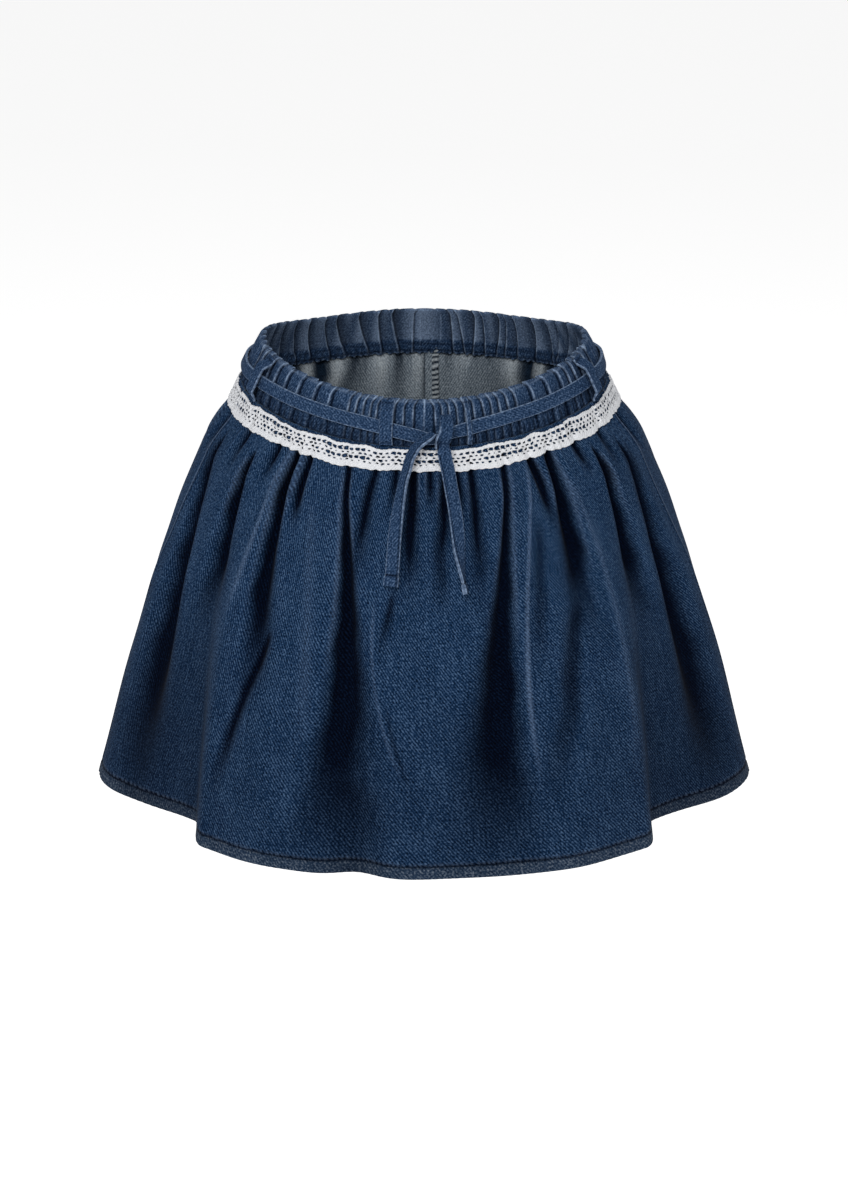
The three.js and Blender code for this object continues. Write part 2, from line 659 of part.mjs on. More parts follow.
// Seam allowance of the centre back, pressed to one side inside the shorts
const ALLOWANCE_ROWS = [CASING_HEIGHT + SEAM_GAP, 38, 58, 84];
const ALLOWANCE_THICK = 1.4;
const ALLOWANCE_STEPS = 3;
const ALLOWANCE_EDGE = 0.5;
const ALLOWANCE_FACE = -CLOTH - SEAM_GAP;
const SHARE_LENGTH = 180 * degreeLength(180, CASING_HEIGHT);
const allowanceShares = Array.from({ length: ALLOWANCE_STEPS + 1 }, (_, j) => (
  1 - (ALLOWANCE_EDGE + ALLOWANCE_WIDTH * (j / ALLOWANCE_STEPS)) / SHARE_LENGTH
));
const allowanceOuter = shortsGrid(ALLOWANCE_ROWS, allowanceShares, ALLOWANCE_FACE, 1);
const allowanceInner = shortsGrid(
  ALLOWANCE_ROWS,
  allowanceShares,
  ALLOWANCE_FACE - ALLOWANCE_THICK,
  1,
);
addPiece('seat_seam_allowance', gridSolid(allowanceOuter, allowanceInner), 'denimReverse');

export default group;
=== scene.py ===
"""A child's denim skort, hollow as worn: a flared skirt gathered on an elastic casing, over plain inner
shorts, with a cotton lace trim and a self-fabric tie knotted in front.
Places on the cloth are given in degrees round the waist (0 at the centre front, positive to +X) and in
millimetres below the top edge (drop). Lengths are millimetres until a mesh is made."""
import math

import bpy
import numpy as np
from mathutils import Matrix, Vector


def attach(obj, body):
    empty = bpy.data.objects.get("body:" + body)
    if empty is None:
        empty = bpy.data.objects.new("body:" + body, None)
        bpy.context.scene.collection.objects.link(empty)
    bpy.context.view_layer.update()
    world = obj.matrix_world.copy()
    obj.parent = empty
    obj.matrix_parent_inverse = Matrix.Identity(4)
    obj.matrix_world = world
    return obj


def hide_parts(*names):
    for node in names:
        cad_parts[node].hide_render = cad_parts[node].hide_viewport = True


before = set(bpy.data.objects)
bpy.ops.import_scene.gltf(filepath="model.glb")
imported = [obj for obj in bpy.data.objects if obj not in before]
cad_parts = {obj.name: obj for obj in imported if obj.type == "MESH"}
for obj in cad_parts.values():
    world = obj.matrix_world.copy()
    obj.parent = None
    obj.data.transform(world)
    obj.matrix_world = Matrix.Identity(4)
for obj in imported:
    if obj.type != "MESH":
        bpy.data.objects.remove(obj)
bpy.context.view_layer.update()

# Camera and studio. A long lens looks down on the open waist from the front, over a pale floor of opal
# acrylic that is lit from beneath. One soft light hangs high in front, weaker ones above and behind.
MM = 0.001
VIEW_TARGET = Vector((0, 0, -139.5))
VIEW_DISTANCE = 2200
VIEW_ELEVATION = math.radians(22.4)
PICTURE_HEIGHT = 1188
PIXELS_PER_MM = 1.8206
FOCAL_SHARE = PIXELS_PER_MM * VIEW_DISTANCE / PICTURE_HEIGHT
SENSOR_HEIGHT = 36
FLOOR_LEVEL = -1100
FLOOR_SIZE = 40000
FLOOR_GLOW = 0.68
ROOM_LIGHT = 0.25

eye = VIEW_TARGET + VIEW_DISTANCE * Vector((0, -math.cos(VIEW_ELEVATION), math.sin(VIEW_ELEVATION)))
camera_data = bpy.data.cameras.new("camera")
camera_data.sensor_fit = "VERTICAL"
camera_data.sensor_height = SENSOR_HEIGHT
camera_data.lens = SENSOR_HEIGHT * FOCAL_SHARE
camera = bpy.data.objects.new("camera", camera_data)
bpy.context.collection.objects.link(camera)
camera.location = eye * MM
camera.rotation_euler = (VIEW_TARGET - eye).to_track_quat("-Z", "Y").to_euler()
bpy.context.scene.camera = camera
bpy.context.scene.view_settings.view_transform = "Standard"


def soft_light(name, place, size, watts):
    """A square area light at a place in millimetres, turned to the middle of the garment."""
    data = bpy.data.lights.new(name, "AREA")
    data.size = size * MM
    data.energy = watts
    lamp = bpy.data.objects.new(name, data)
    lamp.location = Vector(place) * MM
    lamp.rotation_euler = (VIEW_TARGET - Vector(place)).to_track_quat("-Z", "Y").to_euler()
    bpy.context.collection.objects.link(lamp)


soft_light("key_light", (-350, -1900, 1700), 1100, 37)
soft_light("top_light", (0, 300, 2600), 1200, 8)
soft_light("back_light", (300, 2300, 1500), 1200, 16)

world = bpy.data.worlds.new("white_room")
world.use_nodes = True
world.node_tree.nodes["Background"].inputs["Color"].default_value = (1, 1, 1, 1)
world.node_tree.nodes["Background"].inputs["Strength"].default_value = ROOM_LIGHT
bpy.context.scene.world = world


def linear(value):
    """An sRGB hex colour as linear red, green, blue and alpha."""
    channels = [(value >> shift & 255) / 255 for shift in (16, 8, 0)]
    return (*[c / 12.92 if c <= 0.04045 else ((c + 0.055) / 1.055) ** 2.4 for c in channels], 1)


def new_material(name, roughness, specular):
    """A material with a plain surface shader, its tree and the shader."""
    material = bpy.data.materials.new(name)
    material.use_nodes = True
    surface = material.node_tree.nodes["Principled BSDF"]
    surface.inputs["Roughness"].default_value = roughness
    surface.inputs["Specular IOR Level"].default_value = specular
    return material, material.node_tree, surface


opal, _, opal_surface = new_material("opal_acrylic", 0.9, 0.1)
opal_surface.inputs["Base Color"].default_value = linear(0xF4F4F4)
opal_surface.inputs["Emission Color"].default_value = (1, 1, 1, 1)
opal_surface.inputs["Emission Strength"].default_value = FLOOR_GLOW
floor_mesh = bpy.data.meshes.new("floor")
half_floor = FLOOR_SIZE / 2 * MM
floor_corners = [(-half_floor, -half_floor), (half_floor, -half_floor), (half_floor, half_floor),
                 (-half_floor, half_floor)]
floor_mesh.from_pydata([(x, y, FLOOR_LEVEL * MM) for x, y in floor_corners], [], [(0, 1, 2, 3)])
floor_mesh.materials.append(opal)
floor = bpy.data.objects.new("floor", floor_mesh)
bpy.context.collection.objects.link(floor)


# Free ends of the tie. A strap of the same denim, folded to 7.5 mm and stitched along one edge, comes out
# of the knot on each side and hangs on the front of the skirt. Their ends are turned in and sewn across.
LENGTH = 245
WAIST_HALF_WIDTH = 87.5
WAIST_HALF_DEPTH = 75
HEM_HALF_WIDTH = 182
HEM_FRONT_DEPTH = 140
HEM_BACK_DEPTH = 130
SIDE_RISE = 11.5
BACK_RISE = 1.2
FLARE_DROPS = [0, 9, 18, 28, 37, 45, 53, 61, 69, 85, 104, 120, 145, 178, 212, 245]
FLARE_SPREADS = [0, 0.053, 0.093, 0.141, 0.194, 0.265, 0.323, 0.363, 0.401, 0.473, 0.547, 0.611, 0.696,
                 0.806, 0.907, 1]


def ease(start, stop, x):
    """0 before start, 1 past stop, and between them three t squared less two t cubed."""
    t = np.clip((x - start) / (stop - start), 0, 1)
    return t * t * (3 - 2 * t)


def mix(a, b, t):
    """The value a share t of the way from a to b."""
    return a + (b - a) * t


def bell(away, reach):
    """1 in the middle, and e to the minus square of the distance over its reach beside it."""
    return np.exp(-((away / reach) ** 2))


def stray_wave(s, size, stray, spell):
    """The sine of s over a size, whose phase strays with a slower sine, so that it never keeps step."""
    return np.sin(s / size + stray * np.sin(s / spell))


def along(xs, ys, x):
    """A smooth line through points: a cubic between each two, whose slope at a point is that of the
    line joining its two neighbours."""
    xs, ys = np.asarray(xs, float), np.asarray(ys, float)
    k = np.arange(len(xs))
    before, after = np.maximum(k - 1, 0), np.minimum(k + 1, len(xs) - 1)
    slope = (ys[after] - ys[before]) / (xs[after] - xs[before])
    x = np.clip(x, xs[0], xs[-1])
    i = np.clip(np.searchsorted(xs, x, side="right") - 1, 0, len(xs) - 2)
    span = xs[i + 1] - xs[i]
    t = (x - xs[i]) / span
    bend = slope[i] * t * (1 - t) ** 2 - slope[i + 1] * t * t * (1 - t)
    return mix(ys[i], ys[i + 1], t * t * (3 - 2 * t)) + span * bend


def half_width(drop):
    """Half the garment's width, from waist to hem along the table of the flare."""
    return mix(WAIST_HALF_WIDTH, HEM_HALF_WIDTH, along(FLARE_DROPS, FLARE_SPREADS, drop))


def half_depth(deg, drop):
    """Half its depth, the same way, to a hem that stands further out in front than behind."""
    hem = np.where(np.cos(np.radians(deg)) > 0, HEM_FRONT_DEPTH, HEM_BACK_DEPTH)
    return mix(WAIST_HALF_DEPTH, hem, along(FLARE_DROPS, FLARE_SPREADS, drop))


def level(deg, drop):
    """Height of a place: the drop, less the rise of the top edge at the hips, which fades to the hem."""
    c = np.cos(np.radians(deg))
    s = np.abs(np.sin(np.radians(deg)))
    rise = np.where(c > 0, SIDE_RISE * s**2, SIDE_RISE * s**5 + BACK_RISE * c**2)
    return -drop + rise * (1 - drop / LENGTH)


def degree_length(deg, drop):
    """Millimetres along the oval for one degree."""
    a = half_width(drop) * np.cos(np.radians(deg))
    b = half_depth(deg, drop) * np.sin(np.radians(deg))
    return np.radians(np.hypot(a, b))


def form(deg, drop, offset=0):
    """The oval of the garment at a drop, with half axes from waist to hem, moved out level by an offset."""
    deg, drop, offset = np.broadcast_arrays(deg, drop, offset)
    turn = np.radians(deg)
    a, b = half_width(drop), half_depth(deg, drop)
    across, ahead = b * np.sin(turn), -a * np.cos(turn)
    scale = offset / np.hypot(across, ahead)
    x = a * np.sin(turn) + across * scale
    y = -b * np.cos(turn) + ahead * scale
    return np.stack([x, y, level(deg, drop)], -1)


def unit(vectors):
    """Each vector over its length."""
    return vectors / np.linalg.norm(vectors, axis=-1, keepdims=True)


def form_normal(deg, drop):
    """Outward normal of the plain form, from its slopes along and across."""
    step = 0.4
    around = form(deg + step, drop) - form(deg - step, drop)
    down = form(deg, drop + step) - form(deg, drop - step)
    return unit(np.cross(down, around))


def add_node(tree, kind, values=None, links=None, **settings):
    """Add a node with its settings, its socket values and the outputs linked to its sockets."""
    made = tree.nodes.new(kind)
    for key, value in settings.items():
        setattr(made, key, value)
    for key, value in (values or {}).items():
        made.inputs[key].default_value = value
    for key, (source, output) in (links or {}).items():
        tree.links.new(source.outputs[output], made.inputs[key])
    return made


# Yarns are noises, each with its size across and down in millimetres and its weight
YARNS = {"speck": (1.0, 1.15, 1.25), "mottle": (3.4, 4.6, 0.16), "slub": (1.2, 20, 0.3),
         "cloud": (14, 24, 0.18)}
TWILL_PITCH = 1.3
TWILL_LEAN = math.radians(34)
DYE_SPREAD = 0.35
# Colour multiplied in where painted shade falls and where stitches are dark
SHADE_AND_STITCH_TINT = 0x34465A

# Sockets of a node that mixes two colours
MIX_SHARE, MIX_BELOW, MIX_ABOVE, MIX_RESULT = 0, 6, 7, 2


def denim_material(name, deep, body, pale, worn, twill_lift, roughness=0.88):
    """Cotton twill, rope-dyed indigo over white weft and washed: specks of pale weft between dark warp
    yarns, slubs that run down the cloth, soft clouds from the wash, edges and crests paled by wear and by
    painted highlight, and valleys darkened by painted shade and stitch lines by dark thread.
    A real twill line is 0.5 mm apart and is drawn at 1.3 mm so that it shows: a wave texture repeats at
    about one over pi times its scale. The weighted sum of yarns and twill picks the colour."""
    material, tree, surface = new_material(name, roughness, 0.03)
    surface.inputs["Sheen Weight"].default_value = 0.01
    surface.inputs["Sheen Roughness"].default_value = 0.5
    place = add_node(tree, "ShaderNodeUVMap", uv_map="cloth")
    parts = {}
    for key, (across, down, weight) in YARNS.items():
        sized = add_node(tree, "ShaderNodeMapping", {"Scale": (1 / across, 1 / down, 1)},
                         {"Vector": (place, "UV")})
        noise = add_node(tree, "ShaderNodeTexNoise", {"Scale": 1.0, "Detail": 2.0, "Roughness": 0.6},
                         {"Vector": (sized, "Vector")})
        parts[key] = (noise, weight)
    leaning = add_node(tree, "ShaderNodeMapping", {"Rotation": (0, 0, TWILL_LEAN)},
                       {"Vector": (place, "UV")})
    twill = add_node(tree, "ShaderNodeTexWave", {"Scale": 1 / TWILL_PITCH / math.pi, "Distortion": 1.5,
                                                 "Detail": 2.0, "Detail Scale": 1.6},
                     {"Vector": (leaning, "Vector")}, wave_type="BANDS", bands_direction="X")
    parts["twill"] = (twill, twill_lift)
    grain = None
    for yarn, weight in parts.values():
        before = {2: (grain, "Value")} if grain else {}
        grain = add_node(tree, "ShaderNodeMath", {1: weight, 2: 0.0}, {0: (yarn, "Fac"), **before},
                         operation="MULTIPLY_ADD")
    middle_sum = sum(weight for _, weight in parts.values()) / 2
    spread = add_node(tree, "ShaderNodeMapRange",
                      {"From Min": middle_sum - DYE_SPREAD, "From Max": middle_sum + DYE_SPREAD},
                      {"Value": (grain, "Value")})
    ramp = add_node(tree, "ShaderNodeValToRGB", None, {"Fac": (spread, "Result")})
    ramp.color_ramp.elements.new(0.5)
    for stop, at, shade in zip(ramp.color_ramp.elements, (0, 0.5, 1), (deep, body, pale)):
        stop.position = at
        stop.color = linear(shade)
    speck = parts["speck"][0]
    thinned = add_node(tree, "ShaderNodeMapRange", {"From Min": 0.3, "From Max": 0.6, "To Min": 0.4},
                       {"Value": (speck, "Fac")})
    # Mixed paler: wear on edges and stitches, and painted highlight on crests and strap edges
    lit_and_rubbed = add_node(tree, "ShaderNodeAttribute", attribute_name="worn")
    lit_and_rubbed = add_node(tree, "ShaderNodeMath", None, {0: (lit_and_rubbed, "Fac"), 1: (thinned, "Result")},
                      operation="MULTIPLY")
    # Multiplied darker: painted shade in valleys, hollows and hidden parts, and dark stitch lines
    shaded = add_node(tree, "ShaderNodeAttribute", attribute_name="unfaded")
    shaded_colour = add_node(tree, "ShaderNodeMix", {MIX_ABOVE: linear(SHADE_AND_STITCH_TINT)},
                    {MIX_SHARE: (shaded, "Fac"), MIX_BELOW: (ramp, "Color")},
                    data_type="RGBA", blend_type="MULTIPLY")
    colour = add_node(tree, "ShaderNodeMix", {MIX_ABOVE: linear(worn)},
                      {MIX_SHARE: (lit_and_rubbed, "Value"), MIX_BELOW: (shaded_colour, MIX_RESULT)},
                      data_type="RGBA", blend_type="MIX")
    tree.links.new(colour.outputs[MIX_RESULT], surface.inputs["Base Color"])
    height = add_node(tree, "ShaderNodeMath", {1: 0.6}, {0: (grain, "Value"), 2: (speck, "Fac")},
                      operation="MULTIPLY_ADD")
    bump = add_node(tree, "ShaderNodeBump", {"Strength": 0.4, "Distance": 0.0003},
                    {"Height": (height, "Value")})
    tree.links.new(bump.outputs["Normal"], surface.inputs["Normal"])
    return material


DENIM = denim_material("washed_indigo_denim", 0x030E20, 0x132D4C, 0x506A8A, 0x788EAE, 0.3)
# A paler copy for the casing and the straps: their rubbed edges, and painted light where the inside of the
# casing faces the lamp
TRIM_DENIM = denim_material("pale_trim_denim_with_painted_light", 0x07152A, 0x253B59, 0x5C7392, 0x96ABC8, 0.14)


def cloth_object(name, points, quads, uv, materials, slots=None, **values):
    """A smooth mesh from points in millimetres and quads, with the cloth's own millimetres as its UV map,
    a material slot for each face and one number for each point under each further name."""
    mesh = bpy.data.meshes.new(name)
    mesh.from_pydata((points * MM).tolist(), [], quads.tolist())
    layer = mesh.uv_layers.new(name="cloth")
    layer.uv.foreach_set("vector", uv[quads.ravel()].ravel().astype(np.float32))
    for material in materials:
        mesh.materials.append(material)
    if slots is not None:
        mesh.polygons.foreach_set("material_index", slots.astype(np.int32))
    mesh.polygons.foreach_set("use_smooth", np.ones(len(quads), bool))
    for key, value in values.items():
        data = mesh.attributes.new(key, "FLOAT", "POINT").data
        data.foreach_set("value", np.broadcast_to(value, len(points)).astype(np.float32))
    mesh.update()
    made = bpy.data.objects.new(name, mesh)
    bpy.context.collection.objects.link(made)
    return made


def ring_quads(rows, ring):
    """Quads of a closed body through rows of rings. Each end is closed by a strip that joins point j of
    the ring to the point as far from its end."""
    i, j = np.meshgrid(np.arange(rows - 1), np.arange(ring), indexing="ij")
    after = (j + 1) % ring
    sides = np.stack([i * ring + j, (i + 1) * ring + j, (i + 1) * ring + after, i * ring + after], -1)
    k = np.arange(ring // 2 - 1)
    first = np.stack([k, k + 1, ring - 2 - k, ring - 1 - k], -1)
    last = (rows - 1) * ring + first[:, ::-1]
    return np.concatenate([sides.reshape(-1, 4), first, last])


def finish_piece(made, slot, *nodes):
    """The piece rides on the one body and stands for its solids. The finish it is given is not used."""
    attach(made, "root")
    if nodes:
        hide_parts(*nodes)
    return made


STRAP_WIDTH = 7.5
STRAP_THICK = 1.8
STRAP_SIDES = 28
STRAP_OBLONG = (0.28, 0.6)
STRAP_WORN_AND_LIT_EDGE = 0.31
UNDERSIDE_YARNS = 40


def strap_object(name, centre, normal, turn, width=STRAP_WIDTH, thick=STRAP_THICK, swell=0.0, worn=(1, 1),
                 seams=(), shade=0.0):
    """A folded strap, carried along a row of centres, upright to the row's own direction and to a normal,
    and turned about it by an angle in degrees. Its section is an oblong with rounded edges: the cosine and
    sine of a turn, each to its own small power. Swell thickens the two long edges, where it is folded.
    How pale those edges are, by wear and by a painted highlight, is given first for the one on the left of
    the row's direction seen from the normal. Seams are dark lines of stitches at shares of the half width,
    and shade is painted shade in hidden parts, with dark stitching sewn across."""
    ahead = unit(np.gradient(centre, axis=0))
    out = unit(normal - ahead * (normal * ahead).sum(-1, keepdims=True))
    side = np.cross(ahead, out)
    angle = np.radians(turn)[:, None]
    wide = side * np.cos(angle) + out * np.sin(angle)
    face = out * np.cos(angle) - side * np.sin(angle)
    t = (np.arange(STRAP_SIDES) + 0.5) / STRAP_SIDES * 2 * np.pi
    flat_power, edge_power = STRAP_OBLONG
    half = np.broadcast_to(width, len(centre))[:, None] / 2
    u = np.sign(np.cos(t)) * np.abs(np.cos(t)) ** flat_power * half
    lift = 1 + swell * (np.abs(u) / half) ** 6
    deep = np.broadcast_to(thick, len(centre))[:, None]
    v = np.sign(np.sin(t)) * np.abs(np.sin(t)) ** edge_power * deep / 2 * lift
    points = centre[:, None] + wide[:, None] * u[..., None] + face[:, None] * v[..., None]
    run = np.concatenate([[0], np.cumsum(np.linalg.norm(np.diff(centre, axis=0), axis=-1))])[:, None]
    uv = np.stack([u + UNDERSIDE_YARNS * (v < 0), np.broadcast_to(run, u.shape)], -1)
    broken = 0.72 + 0.28 * stray_wave(run, 0.55, 2, 3.3)
    corner = 0.35 + 0.65 * ease(0.2, 0.6, np.abs(v) / np.abs(v).max(1, keepdims=True))
    # Pale edges: rubbed, and lit by a painted highlight
    edge = bell(half - np.abs(u), STRAP_WORN_AND_LIT_EDGE) * corner * np.where(u > 0, worn[0], worn[1]) * broken
    # Painted shade in hidden parts, and dark stitch lines
    dark = np.broadcast_to(np.reshape(shade, (-1, 1)), u.shape).copy()
    for share in seams:
        dark = np.maximum(dark, 0.8 * bell(u / half - share, 0.07))
    quads = ring_quads(len(centre), STRAP_SIDES)[:, ::-1]
    return cloth_object(name, points.reshape(-1, 3), quads, uv.reshape(-1, 2), [TRIM_DENIM],
                        worn=edge.ravel(), unfaded=dark.ravel())


def route(table, count):
    """A smooth row of places through a table of degrees, drop, offset and turn."""
    table = np.asarray(table, float)
    k = np.linspace(0, len(table) - 1, count)
    deg, drop, offset, turn = (along(np.arange(len(table)), table[:, c], k) for c in range(4))
    normal = form_normal(deg, drop)
    return form(deg, drop) + normal * offset[:, None], normal, turn


# Each row is degrees, drop, offset from the skirt's outer face, and how far the strap is turned on edge
TAIL_LEFT = [(-2.5, 23, 5.3, -52), (-4, 28.6, 4.7, -52), (-4.8, 34.6, 4.2, -50), (-5.6, 41.4, 3.8, -48),
             (-6.2, 50, 3.2, -38), (-6.6, 58, 2.8, -25), (-6.9, 67, 2.5, -12), (-7, 76, 2.5, -6),
             (-7.1, 84, 2.5, -4), (-7.3, 91, 2.5, -6)]
TAIL_RIGHT = [(5.8, 24.5, 4.8, -6), (6.1, 29, 4.2, -2), (6.7, 35, 3.4, 0), (7.2, 44.5, 2.8, 3),
              (7.7, 54, 2.6, 6), (8.0, 64, 2.6, 14), (8.1, 73, 2.9, 34), (8.3, 81, 3.6, 60),
              (8.6, 88, 4, 76), (9.0, 94.5, 4, 78)]
TURNED_END = 5.6
TAILS = [("tail_left", TAIL_LEFT, (1, 0.9), -0.73), ("tail_right", TAIL_RIGHT, (0.9, 0.7), 0.73)]
for tail_name, table, pale, stitch_line in TAILS:
    centre, normal, turn = route(table, 110)
    step = np.linalg.norm(np.diff(centre, axis=0), axis=-1)
    from_end = np.concatenate([np.cumsum(step[::-1])[::-1], [0]])
    lump = 1 - ease(TURNED_END - 1.2, TURNED_END, from_end)
    sewn_across = bell(from_end - TURNED_END - 0.2, 0.55)
    strap = strap_object(tail_name + "_strap", centre, normal, turn, swell=0.2, worn=pale,
                         width=STRAP_WIDTH * (0.96 + 0.1 * lump),
                         thick=STRAP_THICK * (1 + 0.55 * lump - 0.3 * sewn_across),
                         seams=(stitch_line,), shade=sewn_across)
    tail = finish_piece(strap, "denim", tail_name)


# Inner shorts. Two halves of the same denim, face out, each one sheet from the centre front round to the
# centre back, joined by the front and seat seams and closed into legs with turned and stitched hems.
CASING_HEIGHT = 23
SEAM_GAP = 0.3
PANEL_GAP = 0.04
CLOTH = 1.3
CROTCH_DROP = 165
SHORTS_DROP = 212
LEG_GAP = 8
RISE_START = 95
SEWN_IN = 1.7
SEWN_FREE = 36
SHORTS_FORM_DROPS = [CASING_HEIGHT, 38, 60, 110, CROTCH_DROP, SHORTS_DROP]
SHORTS_WIDTHS = [95, 96, 101, 106, 110, 113]
SHORTS_DEPTHS = [79, 77.5, 79, 83, 84, 80]
INSEAM_EDGE = 0.002
YARN_REACH = 8
REVERSE_YARNS = 700

# On the reverse the white weft lies on top, so the cloth looks grey, with fine dark specks
DENIM_REVERSE = denim_material("denim_reverse", 0x3E464D, 0x6E7983, 0xA3ACB3, 0xC3CACE, 0.24, 0.92)

# Soft folds that fan down from the casing inside: degrees from the centre back at the top and at the
# foot, the drop where they end, how far they stand out, and half their width at the top
SEAT_FOLDS = [(-58, -66, 74, 2.2, 2.4), (-47, -54, 62, 1.8, 2.0), (-35, -42, 70, 2.4, 2.2),
              (-22.5, -30, 66, 2.2, 2.0), (-18.5, -23, 58, 1.6, 1.6), (-8.4, -9.6, 72, 3.0, 1.5),
              (-5, -5.5, 48, 1.2, 1.2), (9, 7.6, 60, 1.8, 1.6), (17.3, 14.4, 64, 1.6, 2.0),
              (22, 22.8, 58, 1.5, 1.8), (36.7, 38.6, 76, 2.8, 1.8), (45, 49, 66, 2.0, 2.0),
              (57, 64, 72, 2.2, 2.2), (70, 78, 70, 2.0, 2.4)]


def shorts_point(share, drop):
    """Half an oval round the hips, changing with the square of its depth to a whole oval round the leg."""
    whole = np.clip((share - INSEAM_EDGE) / (1 - 2 * INSEAM_EDGE), 0, 1)
    deg = 180 * whole
    width = along(SHORTS_FORM_DROPS, SHORTS_WIDTHS, drop)
    depth = along(SHORTS_FORM_DROPS, SHORTS_DEPTHS, drop)
    rise = np.clip((drop - RISE_START) / (CROTCH_DROP - RISE_START), 0, 1) ** 2
    inner = SEAM_GAP / 2 + LEG_GAP * np.clip((drop - CROTCH_DROP) / (SHORTS_DROP - CROTCH_DROP), 0, 1)
    turn = np.radians(deg)
    half = (width - inner) / 2
    height = level(deg, drop)
    hip = np.stack([np.maximum(PANEL_GAP / 2, width * np.sin(turn)), -depth * np.cos(turn), height], -1)
    turn = np.pi * share
    leg = np.stack([inner + half * (1 - np.cos(2 * turn)), -depth * np.sin(2 * turn), height], -1)
    sewn = form(deg, drop, -SEWN_IN)
    sewn[..., 0] = np.maximum(PANEL_GAP / 2, sewn[..., 0])
    return mix(sewn, mix(hip, leg, rise[..., None]), ease(CASING_HEIGHT, SEWN_FREE, drop)[..., None])


def grid_normal(points):
    """Outward normals of a grid whose rows run down and whose columns run round to +X at the front."""
    return unit(np.cross(np.gradient(points, axis=0), np.gradient(points, axis=1)))


def seat_fold(deg, drop, folds):
    """How far the folds push the cloth outwards: each is a bell across a line that leans, rises at once
    under the casing, widens and fades with the square of what is left."""
    push = np.zeros(np.broadcast(deg, drop).shape)
    for top, foot, stop, deep, wide in folds:
        t = np.clip((drop - CASING_HEIGHT) / (stop - CASING_HEIGHT), 0, 1)
        away = (deg - mix(top, foot, t)) * degree_length(180, CASING_HEIGHT)
        push += deep * (1 - t) ** 2 * ease(-0.08, 0.12, t) * bell(away, wide * (1.3 + 2.2 * t))
    return push


def hollowness(dip, reach):
    """How far each place lies below the mean of its row, taken over a reach of columns to each side."""
    total = np.cumsum(np.pad(dip, ((0, 0), (reach + 1, reach)), mode="edge"), axis=1)
    return (total[:, 2 * reach + 1:] - total[:, :-2 * reach - 1]) / (2 * reach + 1) - dip


def cloth_lengths(points):
    """Millimetres across the cloth: an even spread of the mean row's length, moved by what the cloth's own
    length gains or lacks on it nearby, so that yarns neither crowd on a steep place nor slant."""
    steps = np.linalg.norm(np.diff(points, axis=1), axis=-1)
    run = np.concatenate([np.zeros((len(points), 1)), np.cumsum(steps, axis=1)], 1)
    even = np.linspace(-0.5, 0.5, run.shape[1]) * steps.sum(1).mean()
    return even - hollowness(run - even, YARN_REACH)


def wall_object(name, outer, inner, uv, outside, inside, **values):
    """A closed sheet of cloth between two grids of points, the outer one facing out. The reverse has the
    yarns of another place on the cloth."""
    rows, columns = outer.shape[:2]
    points = np.concatenate([outer, inner[:, ::-1]], 1)
    cloth = np.concatenate([uv, uv[:, ::-1] + [REVERSE_YARNS, 0]], 1)
    quads = ring_quads(rows, 2 * columns)
    sides = (rows - 1) * 2 * columns
    slots = np.zeros(len(quads))
    slots[:sides] = np.tile(np.arange(2 * columns) >= columns, rows - 1)
    spread = {key: np.concatenate([value, value[:, ::-1]], 1).ravel() for key, value in values.items()}
    return cloth_object(name, points.reshape(-1, 3), quads, cloth.reshape(-1, 2), [outside, inside], slots,
                        **spread)


SHORTS_ROWS = (50, 34)
SHORTS_COLUMNS = 120
SHORTS_HEM = 14
folded_rows = np.linspace(CASING_HEIGHT + SEAM_GAP, 90, SHORTS_ROWS[0])
shorts_drop = np.concatenate([folded_rows, np.linspace(92, SHORTS_DROP, SHORTS_ROWS[1])])
share = np.linspace(INSEAM_EDGE, 1 - INSEAM_EDGE, SHORTS_COLUMNS)
drop_grid, share_grid = np.meshgrid(shorts_drop, share, indexing="ij")
for shorts_name, mirror in (("shorts_left", -1), ("shorts_right", 1)):
    outer = shorts_point(share_grid, drop_grid)
    from_back = (180 * share_grid - 180) * -mirror
    from_front = 180 * share_grid * 0.93 - 4
    push = seat_fold(from_back, drop_grid, SEAT_FOLDS) + seat_fold(from_front, drop_grid, SEAT_FOLDS)
    normal = grid_normal(outer)
    ripple = 0.5 * np.sin(share_grid * 61 + drop_grid / 19) * ease(40, 90, drop_grid)
    outer = outer + normal * (push + ripple)[..., None]
    hem = 0.5 * ease(SHORTS_DROP - SHORTS_HEM, SHORTS_DROP - SHORTS_HEM + 2, drop_grid)
    outer, inner = outer + normal * hem[..., None], outer - normal * (CLOTH + hem)[..., None]
    for side in (outer, inner):
        side[..., 0] = np.maximum(PANEL_GAP / 2, side[..., 0])
    uv = np.stack([cloth_lengths(outer), drop_grid], -1)
    # Painted shade in fold hollows, painted highlight on fold crests, and painted shade away from the back
    # and lower down
    folded = push - 0.5 * (np.roll(push, 4, 1) + np.roll(push, -4, 1))
    painted_inside_shade = 0.75 * ease(10, 42, 180 - 180 * share_grid) + 0.4 * ease(36, 70, drop_grid)
    if mirror < 0:
        outer, inner, uv = outer[:, ::-1] * [-1, 1, 1], inner[:, ::-1] * [-1, 1, 1], uv[:, ::-1]
        folded, painted_inside_shade = folded[:, ::-1], painted_inside_shade[:, ::-1]
    shorts = wall_object(shorts_name + "_cloth", outer, inner, uv, DENIM, DENIM_REVERSE,
                         worn=np.clip(-0.5 * folded, 0, 0.5),
                         unfaded=np.clip(0.5 * folded + painted_inside_shade, 0, 1))
    finish_piece(shorts, "denim_inside", shorts_name)


